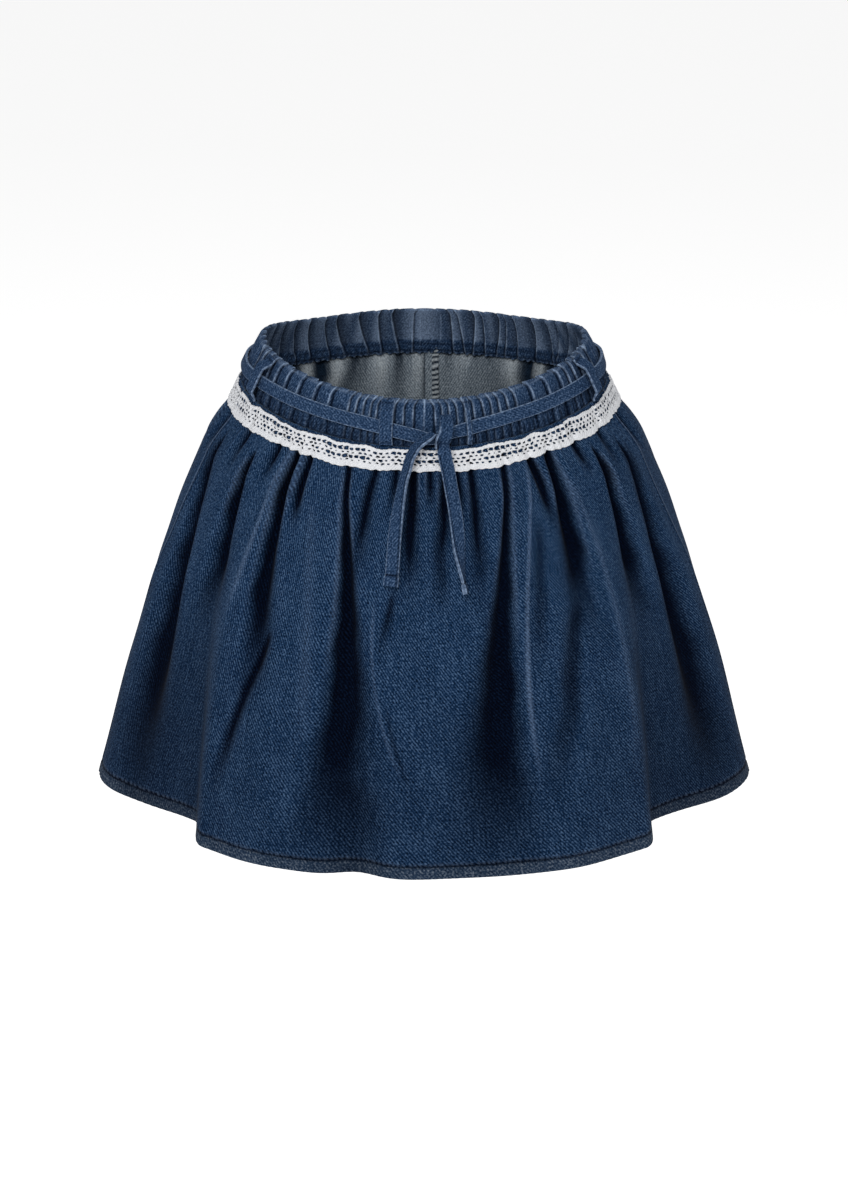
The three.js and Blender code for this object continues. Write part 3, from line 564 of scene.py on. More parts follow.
# Skirt. A front and a back panel of denim, face out, gathered into the casing. The fullness falls in
# folds, deepest under the lace, and at each side the front swings out over the hem in one large fold.
SKIRT_TOP = CASING_HEIGHT + SEAM_GAP
HEM_HEIGHT = 8
HEM_THICK = 2.6
SEAM_TOP = 76
SEAM_HEM = 89
SEAM_LEAN = (40, 170)
FOLD_RISE = 22
WIDE_FOLD_RISE = 95
FOLD_FADE_FROM = 0.55
WIDE_FOLD = 20
TUCK_REACH = 75
WAVE_SCALE = 1.75

# The fold at each side: the drops where it starts and stops, the degrees of its edge there, how deep the
# hollow behind it gets, where its bank starts and ends in degrees from the edge, and where the hollow
# ends. Its shoulder reaches so many degrees before the edge and has so great a part of the depth
SIDE_FOLD = {"start": 55, "stop": 245, "at": 51, "end": 45.3, "deep": 26, "before": 3.5, "after": 6.5,
             "far": 88}
SIDE_FOLD_SHOULDER = (20, 0.14)

# Valleys of the front: the drops where they start and stop, degrees at the start, halfway and at the
# stop, depth, half widths at the start and the stop, the depth of the narrow tuck at their head, how
# steep the bank away from the centre is, 2 for a soft one, and how much painted shade they take. A depth
# below nought makes a ridge, and painted shade below nought is a painted highlight along it.
FRONT_FOLDS = [(24, 62, -80, -80, -81, 2.5, 3, 5, 1.5, 2, 0.3),
               (40, 262, -71.5, -73.5, -74, 10, 4.5, 24, 2.5, 2, 0.75),
               (24, 58, -62, -62, -62, 2.5, 2.5, 4, 2, 2, 0.3),
               (40, 140, -54, -56, -57.5, 7, 2, 11, 4, 3, 1),
               (24, 56, -47, -47, -47, 3, 2.5, 4, 2, 2, 0.3),
               (28, 172, -39.5, -38.4, -35.5, 7, 1.6, 11, 4, 3, 1),
               (30, 130, -42, -43.8, -48, -0.9, 2, 4, 0, 2, -0.5),
               (118, 228, -33, -38.9, -42.5, 3, 2, 6, 0, 2, 0.55),
               (24, 74, -35.4, -34.4, -33.5, 4, 1.6, 4, 3.4, 2, 0.6),
               (50, 190, -29.5, -24.9, -23.5, -0.8, 5, 9, 0, 2, -0.14),
               (26, 256, -23.2, -15.8, -19, 9, 1.2, 30, 3.5, 3, 1),
               (190, 300, -13, -11.5, -10.5, 6, 12, 17, 0, 2, 0.06),
               (24, 100, -13, -15.3, -16, 3, 2, 7, 1.2, 2, 0.5),
               (24, 60, -8, -8, -8, 2.5, 2.2, 4, 1.5, 2, 0.3),
               (24, 104, -3, -3.3, -4, 4, 2, 7, 1.6, 2, 0.8),
               (24, 58, 1.8, 1.9, 2, 2.5, 2, 3.5, 1, 2, 0.5), (24, 80, 6.6, 5.4, 5, 3.5, 2, 5, 2, 2, 0.6),
               (56, 110, 4, 4, 3.8, 2, 3, 5, 0, 2, 0.5), (24, 64, 9.5, 9.6, 10, 2.5, 2.2, 4, 1.2, 2, 0.4),
               (24, 120, 13.8, 13, 12.5, 3.5, 2.2, 8, 1.6, 2, 0.4),
               (26, 256, 24.5, 15.3, 13, 9, 1.3, 32, 3.5, 3, 1),
               (24, 72, 31.5, 32.6, 34, 3.5, 1.8, 4, 3, 2, 0.9),
               (60, 150, 30, 26, 23.5, 1.5, 2.5, 6, 0, 2, 0.5),
               (26, 134, 38.6, 37.5, 36.5, 7, 1.8, 11, 4, 4, 1),
               (40, 215, 40, 45, 41, -0.9, 3, 6, 0, 2, -0.24),
               (104, 214, 35, 29.5, 23, 3.5, 5, 9, 0, 3, 0.45),
               (24, 54, 49, 49.5, 50, 3, 2.5, 4, 3, 2, 0.4), (38, 142, 55, 57, 57.5, 7, 2, 11, 4, 3, 1),
               (24, 58, 62, 62, 62, 2.5, 2.5, 4, 1.5, 2, 0.3),
               (40, 262, 66.5, 73, 76, 10, 4.5, 24, 2.5, 2, 0.75),
               (24, 62, 79, 80, 81, 2.5, 3, 5, 1.5, 2, 0.3),
               (88, 130, -6.3, -7.8, -9.4, 1.2, 1.6, 3.5, 0, 2, 0.7),
               (95, 208, -10.6, -9.2, -1, -0.4, 1.6, 3, 0, 2, -0.3),
               (150, 205, -7.6, -5.2, -1.5, 0.5, 1, 2, 0, 2, 0.4),
               (28, 212, 31.5, 21.8, 22.5, -1.2, 1.4, 3, 0, 2, -0.6),
               (150, 232, -34, -31, -27, -1.4, 9, 12, 0, 2, 0),
               (140, 228, 27, 30, 34, -1.4, 9, 12, 0, 2, 0)]

# The back isn't shown: its valleys take their stop, depth, half widths, shift, lean, tuck, bank and
# painted shade from these rows in turn
BACK_FOLD_COUNT = 19
BACK_FOLD_FIRST = 93
BACK_FOLD_STEP = 9.7
BACK_PATTERN = [(300, 7.5, 2, 22, 1.5, 4, 1.8, 3, 1), (62, 3, 3, 4, -0.8, 0, 2.4, 2, 0.4),
                (124, 5, 2, 10, 0.6, -1.5, 1.8, 3, 1), (250, 7.5, 2.4, 19, -1.2, -3, 1.8, 3, 0.9),
                (84, 3.5, 3, 6, 1, 1, 2.2, 2, 0.6)]
BACK_FOLDS = []
for k in range(BACK_FOLD_COUNT):
    stop, deep, wide, opened, shift, lean, tuck, bank, painted_tone = BACK_PATTERN[k % len(BACK_PATTERN)]
    at = BACK_FOLD_FIRST + k * BACK_FOLD_STEP + shift
    BACK_FOLDS.append((24, stop, at, at + 0.6 * lean, at + lean, deep, wide, opened, tuck, bank, painted_tone))


def fold_at(fold, deg, drop):
    """Dip and painted tone of one valley. The dip is a bell across a bowed line that widens with a power of
    the way down, a greater one for a wide valley; its depth rises below the lace and fades before the stop.
    Away from the centre its exponent is the bank, so that it falls from an edge. At its head a narrow tuck
    goes deeper, and a lip stands up over it. The painted shade fills the bell, darker still in the tuck,
    ends hard on the side away from the centre and fades from 0.4 of the way down; below nought it is a
    painted highlight along a ridge."""
    start, stop, at, mid, end, deep, wide, opened, tuck, bank, painted_tone = fold
    t = (drop - start) / (stop - start)
    line = mix(at, end, t) + 2 * (2 * mid - at - end) * t * (1 - t)
    outwards = np.sign(np.sin(np.radians(at)) + 1e-6)
    power, rise = (1.9, WIDE_FOLD_RISE) if opened > WIDE_FOLD else (1.2, FOLD_RISE)
    half = np.maximum(mix(wide, opened, np.clip(t, 0, 1) ** power), 0.5)
    wobble = np.minimum(half, 6) * (0.12 * np.sin(drop / 8.3 + at) + 0.1 * np.sin(drop / 3.9 + 2 * at))
    away = (deg - line) * degree_length(deg, drop) * outwards
    strength = ease(start, start + rise, drop) * (1 - ease(FOLD_FADE_FROM, 1, t))
    valley = -deep * strength * np.exp(-(np.abs(away / half) ** np.where(away > 0, bank, 2)))
    reach = min(stop - start, TUCK_REACH)
    head = ease(start, start + 9, drop) * (1 - ease(start + 0.25 * reach, start + reach, drop))
    narrow = 1.1 + 1.6 * np.clip((drop - start) / reach, 0, 1)
    slit = -tuck * head * bell(away, narrow)
    lip = 0.15 * tuck * head * bell(away - 2.1 * narrow, 1.5 * narrow)
    within = (drop > start) & (drop < stop)
    # Below nought a painted highlight along a ridge, otherwise painted shade filling the valley and its tuck
    if painted_tone < 0:
        tone = painted_tone * ease(start, start + 16, drop) * (1 - ease(0.6, 1, t)) * bell(away, 0.45 * half)
    else:
        off = (away + wobble) / half
        spread = np.exp(-np.where(off > 0, np.abs(off / 0.9) ** (bank + 1), np.abs(off) ** 1.8))
        tone = painted_tone * ease(start + 2, start + 13, drop) * (1 - ease(0.4, 1.05, t)) * spread
        tone = tone + 0.25 * tuck * head * bell(away, 0.8 * narrow)
    return np.where(within, valley + slit + lip, 0), np.where(within, tone, 0)


def side_dip(deg, drop):
    """The hollow behind the fold at each side, which deepens evenly to the hem: a soft shoulder, a steep
    bank past the fold's edge, and a slow return behind."""
    t = np.clip((drop - SIDE_FOLD["start"]) / (SIDE_FOLD["stop"] - SIDE_FOLD["start"]), 0, 1)
    edge = mix(SIDE_FOLD["at"], SIDE_FOLD["end"], t)
    near, bottom = edge - SIDE_FOLD["before"], edge + SIDE_FOLD["after"]
    far = np.abs(deg)
    reach, part = SIDE_FOLD_SHOULDER
    bank = part * ease(edge - reach, edge, far) + (1 - part) * ease(near, bottom, far)
    back = 0.5 * (1 + np.cos(np.pi * np.clip((far - bottom) / (SIDE_FOLD["far"] - bottom), 0, 1)))
    return -SIDE_FOLD["deep"] * t * np.where(far < bottom, bank, back)


def soft_waves(deg, drop):
    """Slow uneven swells of washed cloth, products of two sines, and short shallow gathers that run out of
    the casing. They follow s, the millimetres round the casing."""
    s = deg * WAVE_SCALE
    swell = 0.55 * np.sin(s / 9.1 + drop / 41) * np.sin(drop / 27 + s / 33 + 1.1)
    swell += 0.35 * np.sin(s / 5.3 - drop / 63 + 0.7) * np.sin(drop / 17 - s / 21)
    gather = 0.45 * stray_wave(s, 0.83, 2.2, 4.7) + 0.35 * stray_wave(s, 0.51, 1.7, 7.9)
    gather = gather * (1 - ease(26, 62, drop)) * ease(-0.9, 0.6, np.sin(s / 6.1 + 1))
    return swell * ease(30, 75, drop) + gather


def skirt_folds(deg, drop):
    """Dip of the whole skirt, and its painted tone: shade in its valleys and behind the side folds, and,
    below nought, a highlight on its ridges.
    """
    turned = np.where(deg > 180, deg - 360, deg)
    behind = np.where(deg < 0, deg + 360, deg)
    dip = side_dip(turned, drop) + soft_waves(turned, drop)
    # Painted shadow in the hollow behind each side fold, from 80 mm down
    painted_tone = 0.32 * ease(-3, -15, side_dip(turned, drop)) * ease(80, 140, drop)
    for folds, place in ((FRONT_FOLDS, turned), (BACK_FOLDS, behind)):
        for fold in folds:
            more = fold_at(fold, place, drop)
            dip, painted_tone = dip + more[0], painted_tone + more[1]
    return dip, painted_tone


def seam_at(drop):
    """Degrees of the side seam, which leans back on its way down."""
    return mix(SEAM_TOP, SEAM_HEM, ease(*SEAM_LEAN, drop))


def panel_degrees(panel, drop, share):
    """Degrees of a share across a panel, whose two edges all but touch at the side seams."""
    seam = seam_at(drop)
    edge = PANEL_GAP / 2 / degree_length(seam, drop)
    start, stop = (-seam, seam) if panel == "front" else (seam, 360 - seam)
    return mix(start + edge, stop - edge, share)


def roping(s, drop):
    """The twisted look of a turned hem: slanting puckers between the stitch line and the edge."""
    band = ease(LENGTH - HEM_HEIGHT, LENGTH - HEM_HEIGHT + 2, drop)
    return band * np.sin(s / 0.62 + drop / 2.1 + 1.3 * np.sin(s / 11)) * (0.6 + 0.4 * np.sin(s / 7.3))


# The hem is rubbed on the twisted edge and its weft shows, so it is paler and greyer than the skirt
HEM_DENIM = denim_material("abraded_hem_denim", 0x0A1426, 0x2B3D54, 0x798390, 0x8E9AA8, 0.14)
PANEL_COLUMNS = {"front": 430, "back": 410}
FOLD_ROWS = np.linspace(SKIRT_TOP, 60, 27)
FALL_ROWS = np.linspace(60, LENGTH - 12, 66)[1:]
HEM_ROWS = np.linspace(LENGTH - 12, LENGTH - 0.6, 14)[1:]
drops = np.concatenate([FOLD_ROWS, FALL_ROWS, HEM_ROWS, [LENGTH]])
for panel in ("front", "back"):
    share = np.linspace(0, 1, PANEL_COLUMNS[panel])
    drop_grid, share_grid = np.meshgrid(drops, share, indexing="ij")
    deg = panel_degrees(panel, drop_grid, share_grid)
    dip, painted_tone = skirt_folds(deg, drop_grid)
    around = deg * degree_length(deg, LENGTH)
    above_edge = LENGTH - drop_grid
    hem_line = bell(above_edge - HEM_HEIGHT + 0.9, 0.7)
    span = np.abs(deg[:, -1:] - deg[:, :1]) * degree_length(deg, drop_grid)
    from_seam = np.minimum(share_grid, 1 - share_grid) * span
    # The front laps over the back at the side seams and is stitched down along them
    lapped = 1.0 if panel == "front" else 0.0
    seam = lapped * (0.5 * bell(from_seam - 1.2, 2.2) - 0.3 * bell(from_seam - 3.4, 0.6))
    surface = dip - 0.4 * hem_line + 0.12 * roping(around, drop_grid) + seam - 0.15 * (1 - lapped)
    edge_round = np.zeros_like(drop_grid)
    edge_round[-1] = 0.7
    thick = mix(CLOTH, HEM_THICK, ease(LENGTH - HEM_HEIGHT - 0.5, LENGTH - HEM_HEIGHT, drop_grid))
    outer = form(deg, drop_grid, surface - edge_round)
    inner = form(deg, drop_grid, surface - thick + edge_round)
    uv = np.stack([cloth_lengths(outer), drop_grid], -1)
    # Painted shade in hollows and valleys, dark stitch lines and a little darker towards the hem; then
    # painted highlight on crests and ridges, and wear on the lapped seam's edge and the stitches' high spots
    fold_shape = dip - side_dip(deg, drop_grid)
    depth = 1 - np.exp(-np.clip(-fold_shape, 0, 20) / 4)
    topstitch = lapped * bell(from_seam - 1.9, 0.5)
    unfaded = np.clip(np.clip(painted_tone, 0, 1) + 0.35 * depth + 0.35 * ease(0.1, 1.6, hollowness(fold_shape, 4))
                      + 0.9 * hem_line + 0.7 * topstitch + 0.2 * ease(90, 220, drop_grid), 0, 1)
    highlight_and_seam_wear = 0.16 * ease(0.25, 1.0, -hollowness(fold_shape, 3)) + 0.55 * np.clip(-painted_tone, 0, 1)
    highlight_and_seam_wear = highlight_and_seam_wear + 0.6 * lapped * bell(from_seam - 0.4, 0.6)
    stitches = 0.35 * bell(above_edge - HEM_HEIGHT, 0.5) * (np.sin(around / 0.45) > 0)
    lit_and_rubbed = np.clip(highlight_and_seam_wear + stitches, 0, 1) * (1 - 0.7 * ease(0.3, 0.9, unfaded) * (hem_line < 0.1))
    cloth = wall_object(f"skirt_{panel}_cloth", outer, inner, uv, DENIM, DENIM_REVERSE,
                        worn=lit_and_rubbed, unfaded=unfaded)
    # The outer faces below the hem's stitch line take the rubbed denim
    cloth.data.materials.append(HEM_DENIM)
    slots = np.zeros(len(cloth.data.polygons), np.int32)
    cloth.data.polygons.foreach_get("material_index", slots)
    face_row = np.arange(len(slots)) // (2 * PANEL_COLUMNS[panel])
    in_hem = (drops[np.minimum(face_row, len(drops) - 1)] > LENGTH - HEM_HEIGHT + 0.4) & (slots == 0)
    cloth.data.polygons.foreach_set("material_index", np.where(in_hem, 2, slots).astype(np.int32))
    finish_piece(cloth, "denim", f"skirt_{panel}")


# Waist casing. A denim strip folded over elastic and sewn to the skirt, in two halves. Stretched for
# sewing and let go, it stands in close gathers, each lapping over its neighbour towards the side. Inside
# it is turned under, sewn down by two rows of navy thread, and its edge is overlocked.
CASING_THICK = 3.2
INNER_FOOT = 27.4
GATHER_DEEP = 1.5
GATHER_WIDE = 6
VALLEY_PLACE = 0.87
GATHER_FALL = 1.6
GATHER_CLIMB = 0.8
RIDGE_RUBBED = 0.34
VALLEY_SHADED = 0.75
CASING_DEGREE_STEP = 0.25
TOP_ROUND = 1.6
TOP_RUN = 24
TOP_LENGTH = 4
INNER_DEEP = 2.1
INNER_FRONT_SHARE = 0.79
RIDGES_RIGHT = [0, 3.7, 6.1, 8.4, 11, 13.6, 16.6, 20, 22.8, 25.6, 28.7, 31.9, 39, 46, 52.7, 57, 61, 66,
                71, 76]
RIDGES_LEFT = [0, 3.6, 6.8, 10, 13.7, 15.8, 18, 20.4, 23, 25.6, 33, 39.4, 46.5, 53, 59, 64, 68, 72, 76]
BACK_RIDGE_STEPS = [5.2, 4.1, 6.3, 4.6, 5.6, 3.9]

# Gathers of the inner face behind, degrees from the centre back, and how far they lean in the casing's
# height; a plain stretch lies over the seam
INNER_RIDGES = [-104, -97, -90, -83, -76, -69.5, -62.8, -55.7, -50.9, -43.4, -34.8, -30.6, -27.9, -21.8,
                -18.5, -12.9, -9.9, -6, 1.3, 3.9, 11.2, 16.5, 23.3, 32.4, 37.6, 45.5, 53, 61, 69, 77, 85,
                92, 98, 104]
INNER_LEANS = [4, 5, 6, 7, 8, 9, 11.6, 7.8, 3.3, 3.8, 2.2, 3.4, 3.9, 1.1, 2.5, -1.4, -0.1, 0.7, -0.1, 0.1,
               -3.6, -2.8, -6.2, -6.9, -6.2, -6, -7, -6, -6, -5, -5, -4, -3, -3]
PLAIN_STRETCH = (177.6, 5)


def back_ridges():
    """Ridges of the outer face behind, from one side seam to the other in uneven steps."""
    ridges = []
    deg = SEAM_TOP
    while deg < 360 - SEAM_TOP - 2:
        ridges.append(deg)
        deg += BACK_RIDGE_STEPS[len(ridges) % len(BACK_RIDGE_STEPS) - 1]
    return np.array([*ridges, 360 - SEAM_TOP], float)


def gathers(deg, drop, ridges, leans, centre, deepest):
    """Dip, ridge and valley of lapped gathers. Across one gather the cloth falls as a power of the way
    from its own ridge to the valley and climbs steeply to the next. The ridges lean with the drop and
    turn towards the centre at the very top."""
    side = np.sign(ridges - centre)
    curl = -side * 1.3 * np.clip(1 - drop / 4.5, 0, 1)[..., None] ** 2
    lines = ridges + leans * (drop[..., None] / CASING_HEIGHT - 0.4) + curl
    index = np.clip((deg[..., None] >= lines).sum(-1) - 1, 0, len(ridges) - 2)
    near = np.take_along_axis(lines, index[..., None], -1)[..., 0]
    far = np.take_along_axis(lines, index[..., None] + 1, -1)[..., 0]
    span = far - near
    s = np.clip((deg - near) / span, 0, 1)
    outward = (near + far) / 2 > centre
    s = np.where(outward, s, 1 - s)
    length = span * degree_length(deg, 10)
    fall = (np.minimum(s, VALLEY_PLACE) / VALLEY_PLACE) ** GATHER_FALL
    climb = np.clip((1 - s) / (1 - VALLEY_PLACE), 0, 1) ** GATHER_CLIMB
    dip = -deepest * np.minimum(1.2, np.sqrt(span / GATHER_WIDE)) * np.where(s < VALLEY_PLACE, fall, climb)
    ridge = bell(np.minimum(s, 1 - s) * length, RIDGE_RUBBED)
    return dip, ridge, bell((s - VALLEY_PLACE) * length, VALLEY_SHADED)


def uneven(count, size):
    """A row of leans that never repeats in step, for gathers that nothing else sets: two sines summed."""
    k = np.arange(count)
    return size * (np.sin(2.3 * k + 1) + 0.6 * np.sin(5.1 * k))


def grid_quads(rows, columns):
    """Quads of a grid of points, facing out where its rows run down and its columns to +X in front."""
    first = (np.arange(rows - 1)[:, None] * columns + np.arange(columns - 1)).ravel()
    return np.stack([first, first + columns, first + columns + 1, first + 1], -1)


OUTER_FRONT_RIDGES = np.array([-d for d in RIDGES_LEFT[:0:-1]] + RIDGES_RIGHT, float)
OUTER_BACK_RIDGES = back_ridges()
INNER_STITCH_DROPS = (21.6, 25.4)
OUTER_ROWS = 26
TOP_ROWS = 8
INNER_ROWS = 30
for half, outer_ridges in (("front", OUTER_FRONT_RIDGES), ("back", OUTER_BACK_RIDGES)):
    # Rows run up the outer face, over the rounded top and down the inner face
    centre = 0 if half == "front" else 180
    edge = SEAM_GAP / 2 / degree_length(SEAM_TOP, 0)
    start, stop = outer_ridges[0] + edge, outer_ridges[-1] - edge
    columns = int((stop - start) / CASING_DEGREE_STEP)
    outer_drop = np.linspace(CASING_HEIGHT, TOP_ROUND, OUTER_ROWS)
    bend = np.linspace(0, np.pi, TOP_ROWS + 2)[1:-1]
    inner_drop = np.linspace(TOP_ROUND, INNER_FOOT, INNER_ROWS)
    drops = np.concatenate([outer_drop, TOP_ROUND - TOP_ROUND * np.sin(bend), inner_drop])
    through = np.concatenate([np.zeros(OUTER_ROWS), (1 - np.cos(bend)) / 2, np.ones(INNER_ROWS)])
    over_top = TOP_RUN + TOP_LENGTH * through[OUTER_ROWS:OUTER_ROWS + TOP_ROWS]
    run = np.concatenate([CASING_HEIGHT - outer_drop, over_top, TOP_RUN + TOP_LENGTH + inner_drop])
    drop, deg = np.meshgrid(drops, np.linspace(start, stop, columns), indexing="ij")
    through = np.broadcast_to(through[:, None], drop.shape)
    # Gathers of both faces, and the offsets of the cloth from the garment's form
    outer_leans = uneven(len(outer_ridges), 0.35)
    dip, ridge, valley = gathers(deg, drop, outer_ridges, outer_leans, centre, GATHER_DEEP)
    inner_lines = np.array(INNER_RIDGES, float) * (1 if half == "back" else INNER_FRONT_SHARE) + centre
    inner_leans = np.array(INNER_LEANS)
    back_dip, back_ridge, back_valley = gathers(deg, drop, inner_lines, inner_leans, centre, INNER_DEEP)
    s = deg * WAVE_SCALE
    pleats = stray_wave(s, 0.62, 2, 5.2)
    small = 0.3 * pleats * ease(12, 21, drop)
    seam_pinch = -0.5 * ease(20.5, CASING_HEIGHT, drop)
    outer_offset = dip + small + seam_pinch
    plain = np.exp(-(((deg - PLAIN_STRETCH[0]) / PLAIN_STRETCH[1]) ** 8))
    gathered = 1 - 0.85 * plain
    back_ridge, back_valley, back_dip = (part * gathered for part in (back_ridge, back_valley, back_dip))
    stitched = sum(bell(drop - line, 0.55) for line in INNER_STITCH_DROPS)
    bumps = 0.35 * np.sin(s / 0.56) * ease(25.6, 26.6, drop)
    puckers = 0.3 * stray_wave(s, 0.7, 1.5, 6.3)
    back_dip = back_dip * (1 - 0.6 * ease(19, 22, drop)) + puckers * ease(18, 21, drop)
    inner_offset = -CASING_THICK - 0.8 - 1.3 * ease(16, 25, drop) - back_dip + 0.35 * stitched - bumps
    offset = mix(outer_offset, inner_offset, through)
    ragged = 0.35 * stray_wave(s, 0.9, 1, 3.1) * ease(24, INNER_FOOT, drop) * through
    notch = 0.45 * mix(valley, back_valley, through) * np.clip(1 - drop / 3, 0, 1)
    shape = form(deg, drop + ragged + notch, offset)
    across = cloth_lengths(form(deg, drop, outer_offset))
    uv = np.stack([across, np.broadcast_to(run[:, None], drop.shape)], -1)
    # Rubbed ridges, looped edge thread and painted light on the lit side of each inner gather, then the
    # painted shade of valleys and of the lower edge, and the stitches
    outer_worn = 0.95 * ridge * (1 - 0.85 * ease(9, 14, drop)) + 0.3 * bell(drop - 0.9, 0.5)
    patches = 0.5 + 0.5 * np.sin(1.7 * s / 5 + 2.6 * np.sin(s / 11.3))
    facet = patches * np.clip(1 + back_dip / 1.4, 0, 1)
    inner_ridge = 1.6 * back_ridge * (1 - 0.7 * ease(19, 21, drop))
    painted_facet_light = (0.1 + 0.5 * facet) * (1 - ease(18, 20, drop))
    broken = mix(0.45, 1.0, ease(-0.5, 0.5, np.sin(s / 2.9 + drop / 1.7) + 0.5 * np.sin(drop / 0.8 + s)))
    worn = mix(outer_worn, inner_ridge, through) * broken + through * painted_facet_light
    worn = np.maximum(worn, 0.75 * ease(26.4, 27, drop) * through * (np.sin(s / 0.56) > -0.2))
    hanging = 1 + 0.5 * pleats
    broad = np.clip(-back_dip / INNER_DEEP, 0, 1) ** 1.3
    dark = mix(valley * 0.95, np.maximum(back_valley, 0.7 * broad), through)
    dark = np.maximum(dark, 0.5 * ease(15, 20, drop) * (1 - through) * hanging)
    dark = np.maximum(dark, 0.9 * np.clip(stitched, 0, 1) * through)
    # The rows go up the outside, so the faces are turned over. The foot closes the strip inside the seam
    quads = grid_quads(len(drops), columns)[:, [0, 3, 2, 1]]
    j = np.arange(columns - 1)
    last = (len(drops) - 1) * columns
    foot = np.stack([j, last + j, last + j + 1, j + 1], -1)
    casing = cloth_object(f"casing_{half}_cloth", shape.reshape(-1, 3), np.concatenate([quads, foot]),
                          uv.reshape(-1, 2), [TRIM_DENIM], worn=worn.ravel(), unfaded=dark.ravel())
    finish_piece(casing, "denim", f"casing_{half}")


# Lace trim. White cotton torchon lace, 11 mm deep, sewn on over the waist seam: two rows of long eyelets,
# each over a row of small ones, a plain lower band with a softly scalloped edge and a wavy picot top.
LACE_DEEP = 11
LACE_TOP = CASING_HEIGHT + 0.9
LACE_THICK = 0.55
LACE_PITCH = 3.6
LACE_RIDE = 0.35
LACE_COUNT = {"front": 83, "back": 95}

# Bands of eyelets from the top: upper and lower edge, half length and half height of an eyelet, and
# how far, in pitches, each of three neighbours is shifted, so that they stand in pairs. Every other row
# is half a pitch along: the shift starts at the first drop and turns over in the second
EYELET_BANDS = [(1.2, 3.5, 1.45, 0.78, (0.03, -0.03, 0)), (3.5, 5.0, 0.85, 0.42, (0.12, 0, -0.1)),
                (5.0, 7.1, 1.4, 0.74, (0, 0.03, -0.03)), (7.1, 8.5, 0.75, 0.4, (0.08, 0, -0.08))]
ROW_SHIFT = (2.35, 1.85)
PLAIN_FOOT = [8.5, 8.9, 9.3, 9.5, 10.1, 10.6, LACE_DEEP]
LACE_HANG = 0.35
THREAD_SIZE = (0.45, 0.4)
BRAID_PITCH = 0.9


def lace_material():
    """Mercerised cotton thread, bobbin made: matt white, with round threads that catch a little shade."""
    material, tree, surface = new_material("white_cotton_lace", 0.8, 0.25)
    place = add_node(tree, "ShaderNodeUVMap", uv_map="cloth")
    sized = add_node(tree, "ShaderNodeMapping", {"Scale": (1 / THREAD_SIZE[0], 1 / THREAD_SIZE[1], 1)},
                     {"Vector": (place, "UV")})
    thread = add_node(tree, "ShaderNodeTexNoise", {"Scale": 1.0, "Detail": 3.0, "Roughness": 0.7},
                      {"Vector": (sized, "Vector")})
    braid = add_node(tree, "ShaderNodeTexWave",
                     {"Scale": 1 / BRAID_PITCH / math.pi, "Distortion": 3.5, "Detail": 1.0},
                     {"Vector": (place, "UV")}, wave_type="BANDS", bands_direction="DIAGONAL")
    ramp = add_node(tree, "ShaderNodeValToRGB", None, {"Fac": (thread, "Fac")})
    for stop, at, shade in zip(ramp.color_ramp.elements, (0.3, 0.6), (0xC9CDD7, 0xFCFDFF)):
        stop.position = at
        stop.color = linear(shade)
    tree.links.new(ramp.outputs["Color"], surface.inputs["Base Color"])
    height = add_node(tree, "ShaderNodeMath", None, {0: (thread, "Fac"), 1: (braid, "Fac")},
                      operation="ADD")
    bump = add_node(tree, "ShaderNodeBump", {"Strength": 0.7, "Distance": 0.0004},
                    {"Height": (height, "Value")})
    tree.links.new(bump.outputs["Normal"], surface.inputs["Normal"])
    return material


LACE = lace_material()
CELL_POINTS = 16


def eyelet_band(count, band):
    """Quads of one band, in pitches along and millimetres down. Each cell is a square frame of 16 points
    round two rings that close on an oval eyelet. Its frame's points are where the next cell's are."""
    top, bottom, half_long, half_high, shifts = band
    quarter = np.arange(4) / 4
    frame_u = np.concatenate([quarter, np.ones(4), 1 - quarter, np.zeros(4)])
    frame_v = np.concatenate([np.zeros(4), quarter, np.ones(4), 1 - quarter])
    angle = np.arctan2(frame_v - 0.5, frame_u - 0.5)
    cell = np.arange(count)
    middle = 0.5 + np.array(shifts)[cell % 3]
    uneven_size = 0.95 + 0.22 * np.sin(cell * 2.2 + 3 * top) + 0.25 * np.sin(cell * 0.47 + 1.4 * top)
    hole_u = middle[:, None] + half_long / LACE_PITCH * uneven_size[:, None] * np.cos(angle)
    hole_v = (top + bottom) / 2 + half_high * uneven_size[:, None] * np.sin(angle)
    edge_u = np.broadcast_to(frame_u, hole_u.shape)
    edge_v = np.broadcast_to(mix(top, bottom, frame_v), hole_v.shape)
    rings = [(mix(edge_u, hole_u, t), mix(edge_v, hole_v, t)) for t in (0, 0.6, 1)]
    u = np.stack([r[0] for r in rings], 1) + cell[:, None, None]
    v = np.stack([r[1] for r in rings], 1)
    lift = np.broadcast_to(np.array([0, 0.16, -0.1])[None, :, None], u.shape)
    ring, point = np.meshgrid(np.arange(2) * CELL_POINTS, np.arange(CELL_POINTS), indexing="ij")
    after = (point + 1) % CELL_POINTS
    inner = ring + CELL_POINTS
    quads = np.stack([ring + point, inner + point, inner + after, ring + after], -1)
    quads = (quads.reshape(1, -1, 4) + len(rings) * CELL_POINTS * cell[:, None, None]).reshape(-1, 4)
    return np.stack([u.ravel(), v.ravel(), lift.ravel()], -1), quads


def plain_band(count, downs, lift):
    """Quads of a band with no eyelets, with points as far apart as the eyelet frames have them."""
    u, v = np.meshgrid(np.arange(4 * count + 1) / 4, downs, indexing="xy")
    raised = lift * np.sin(np.pi * (v - downs[0]) / (downs[-1] - downs[0]))
    return np.stack([u.ravel(), v.ravel(), raised.ravel()], -1), grid_quads(len(downs), 4 * count + 1)


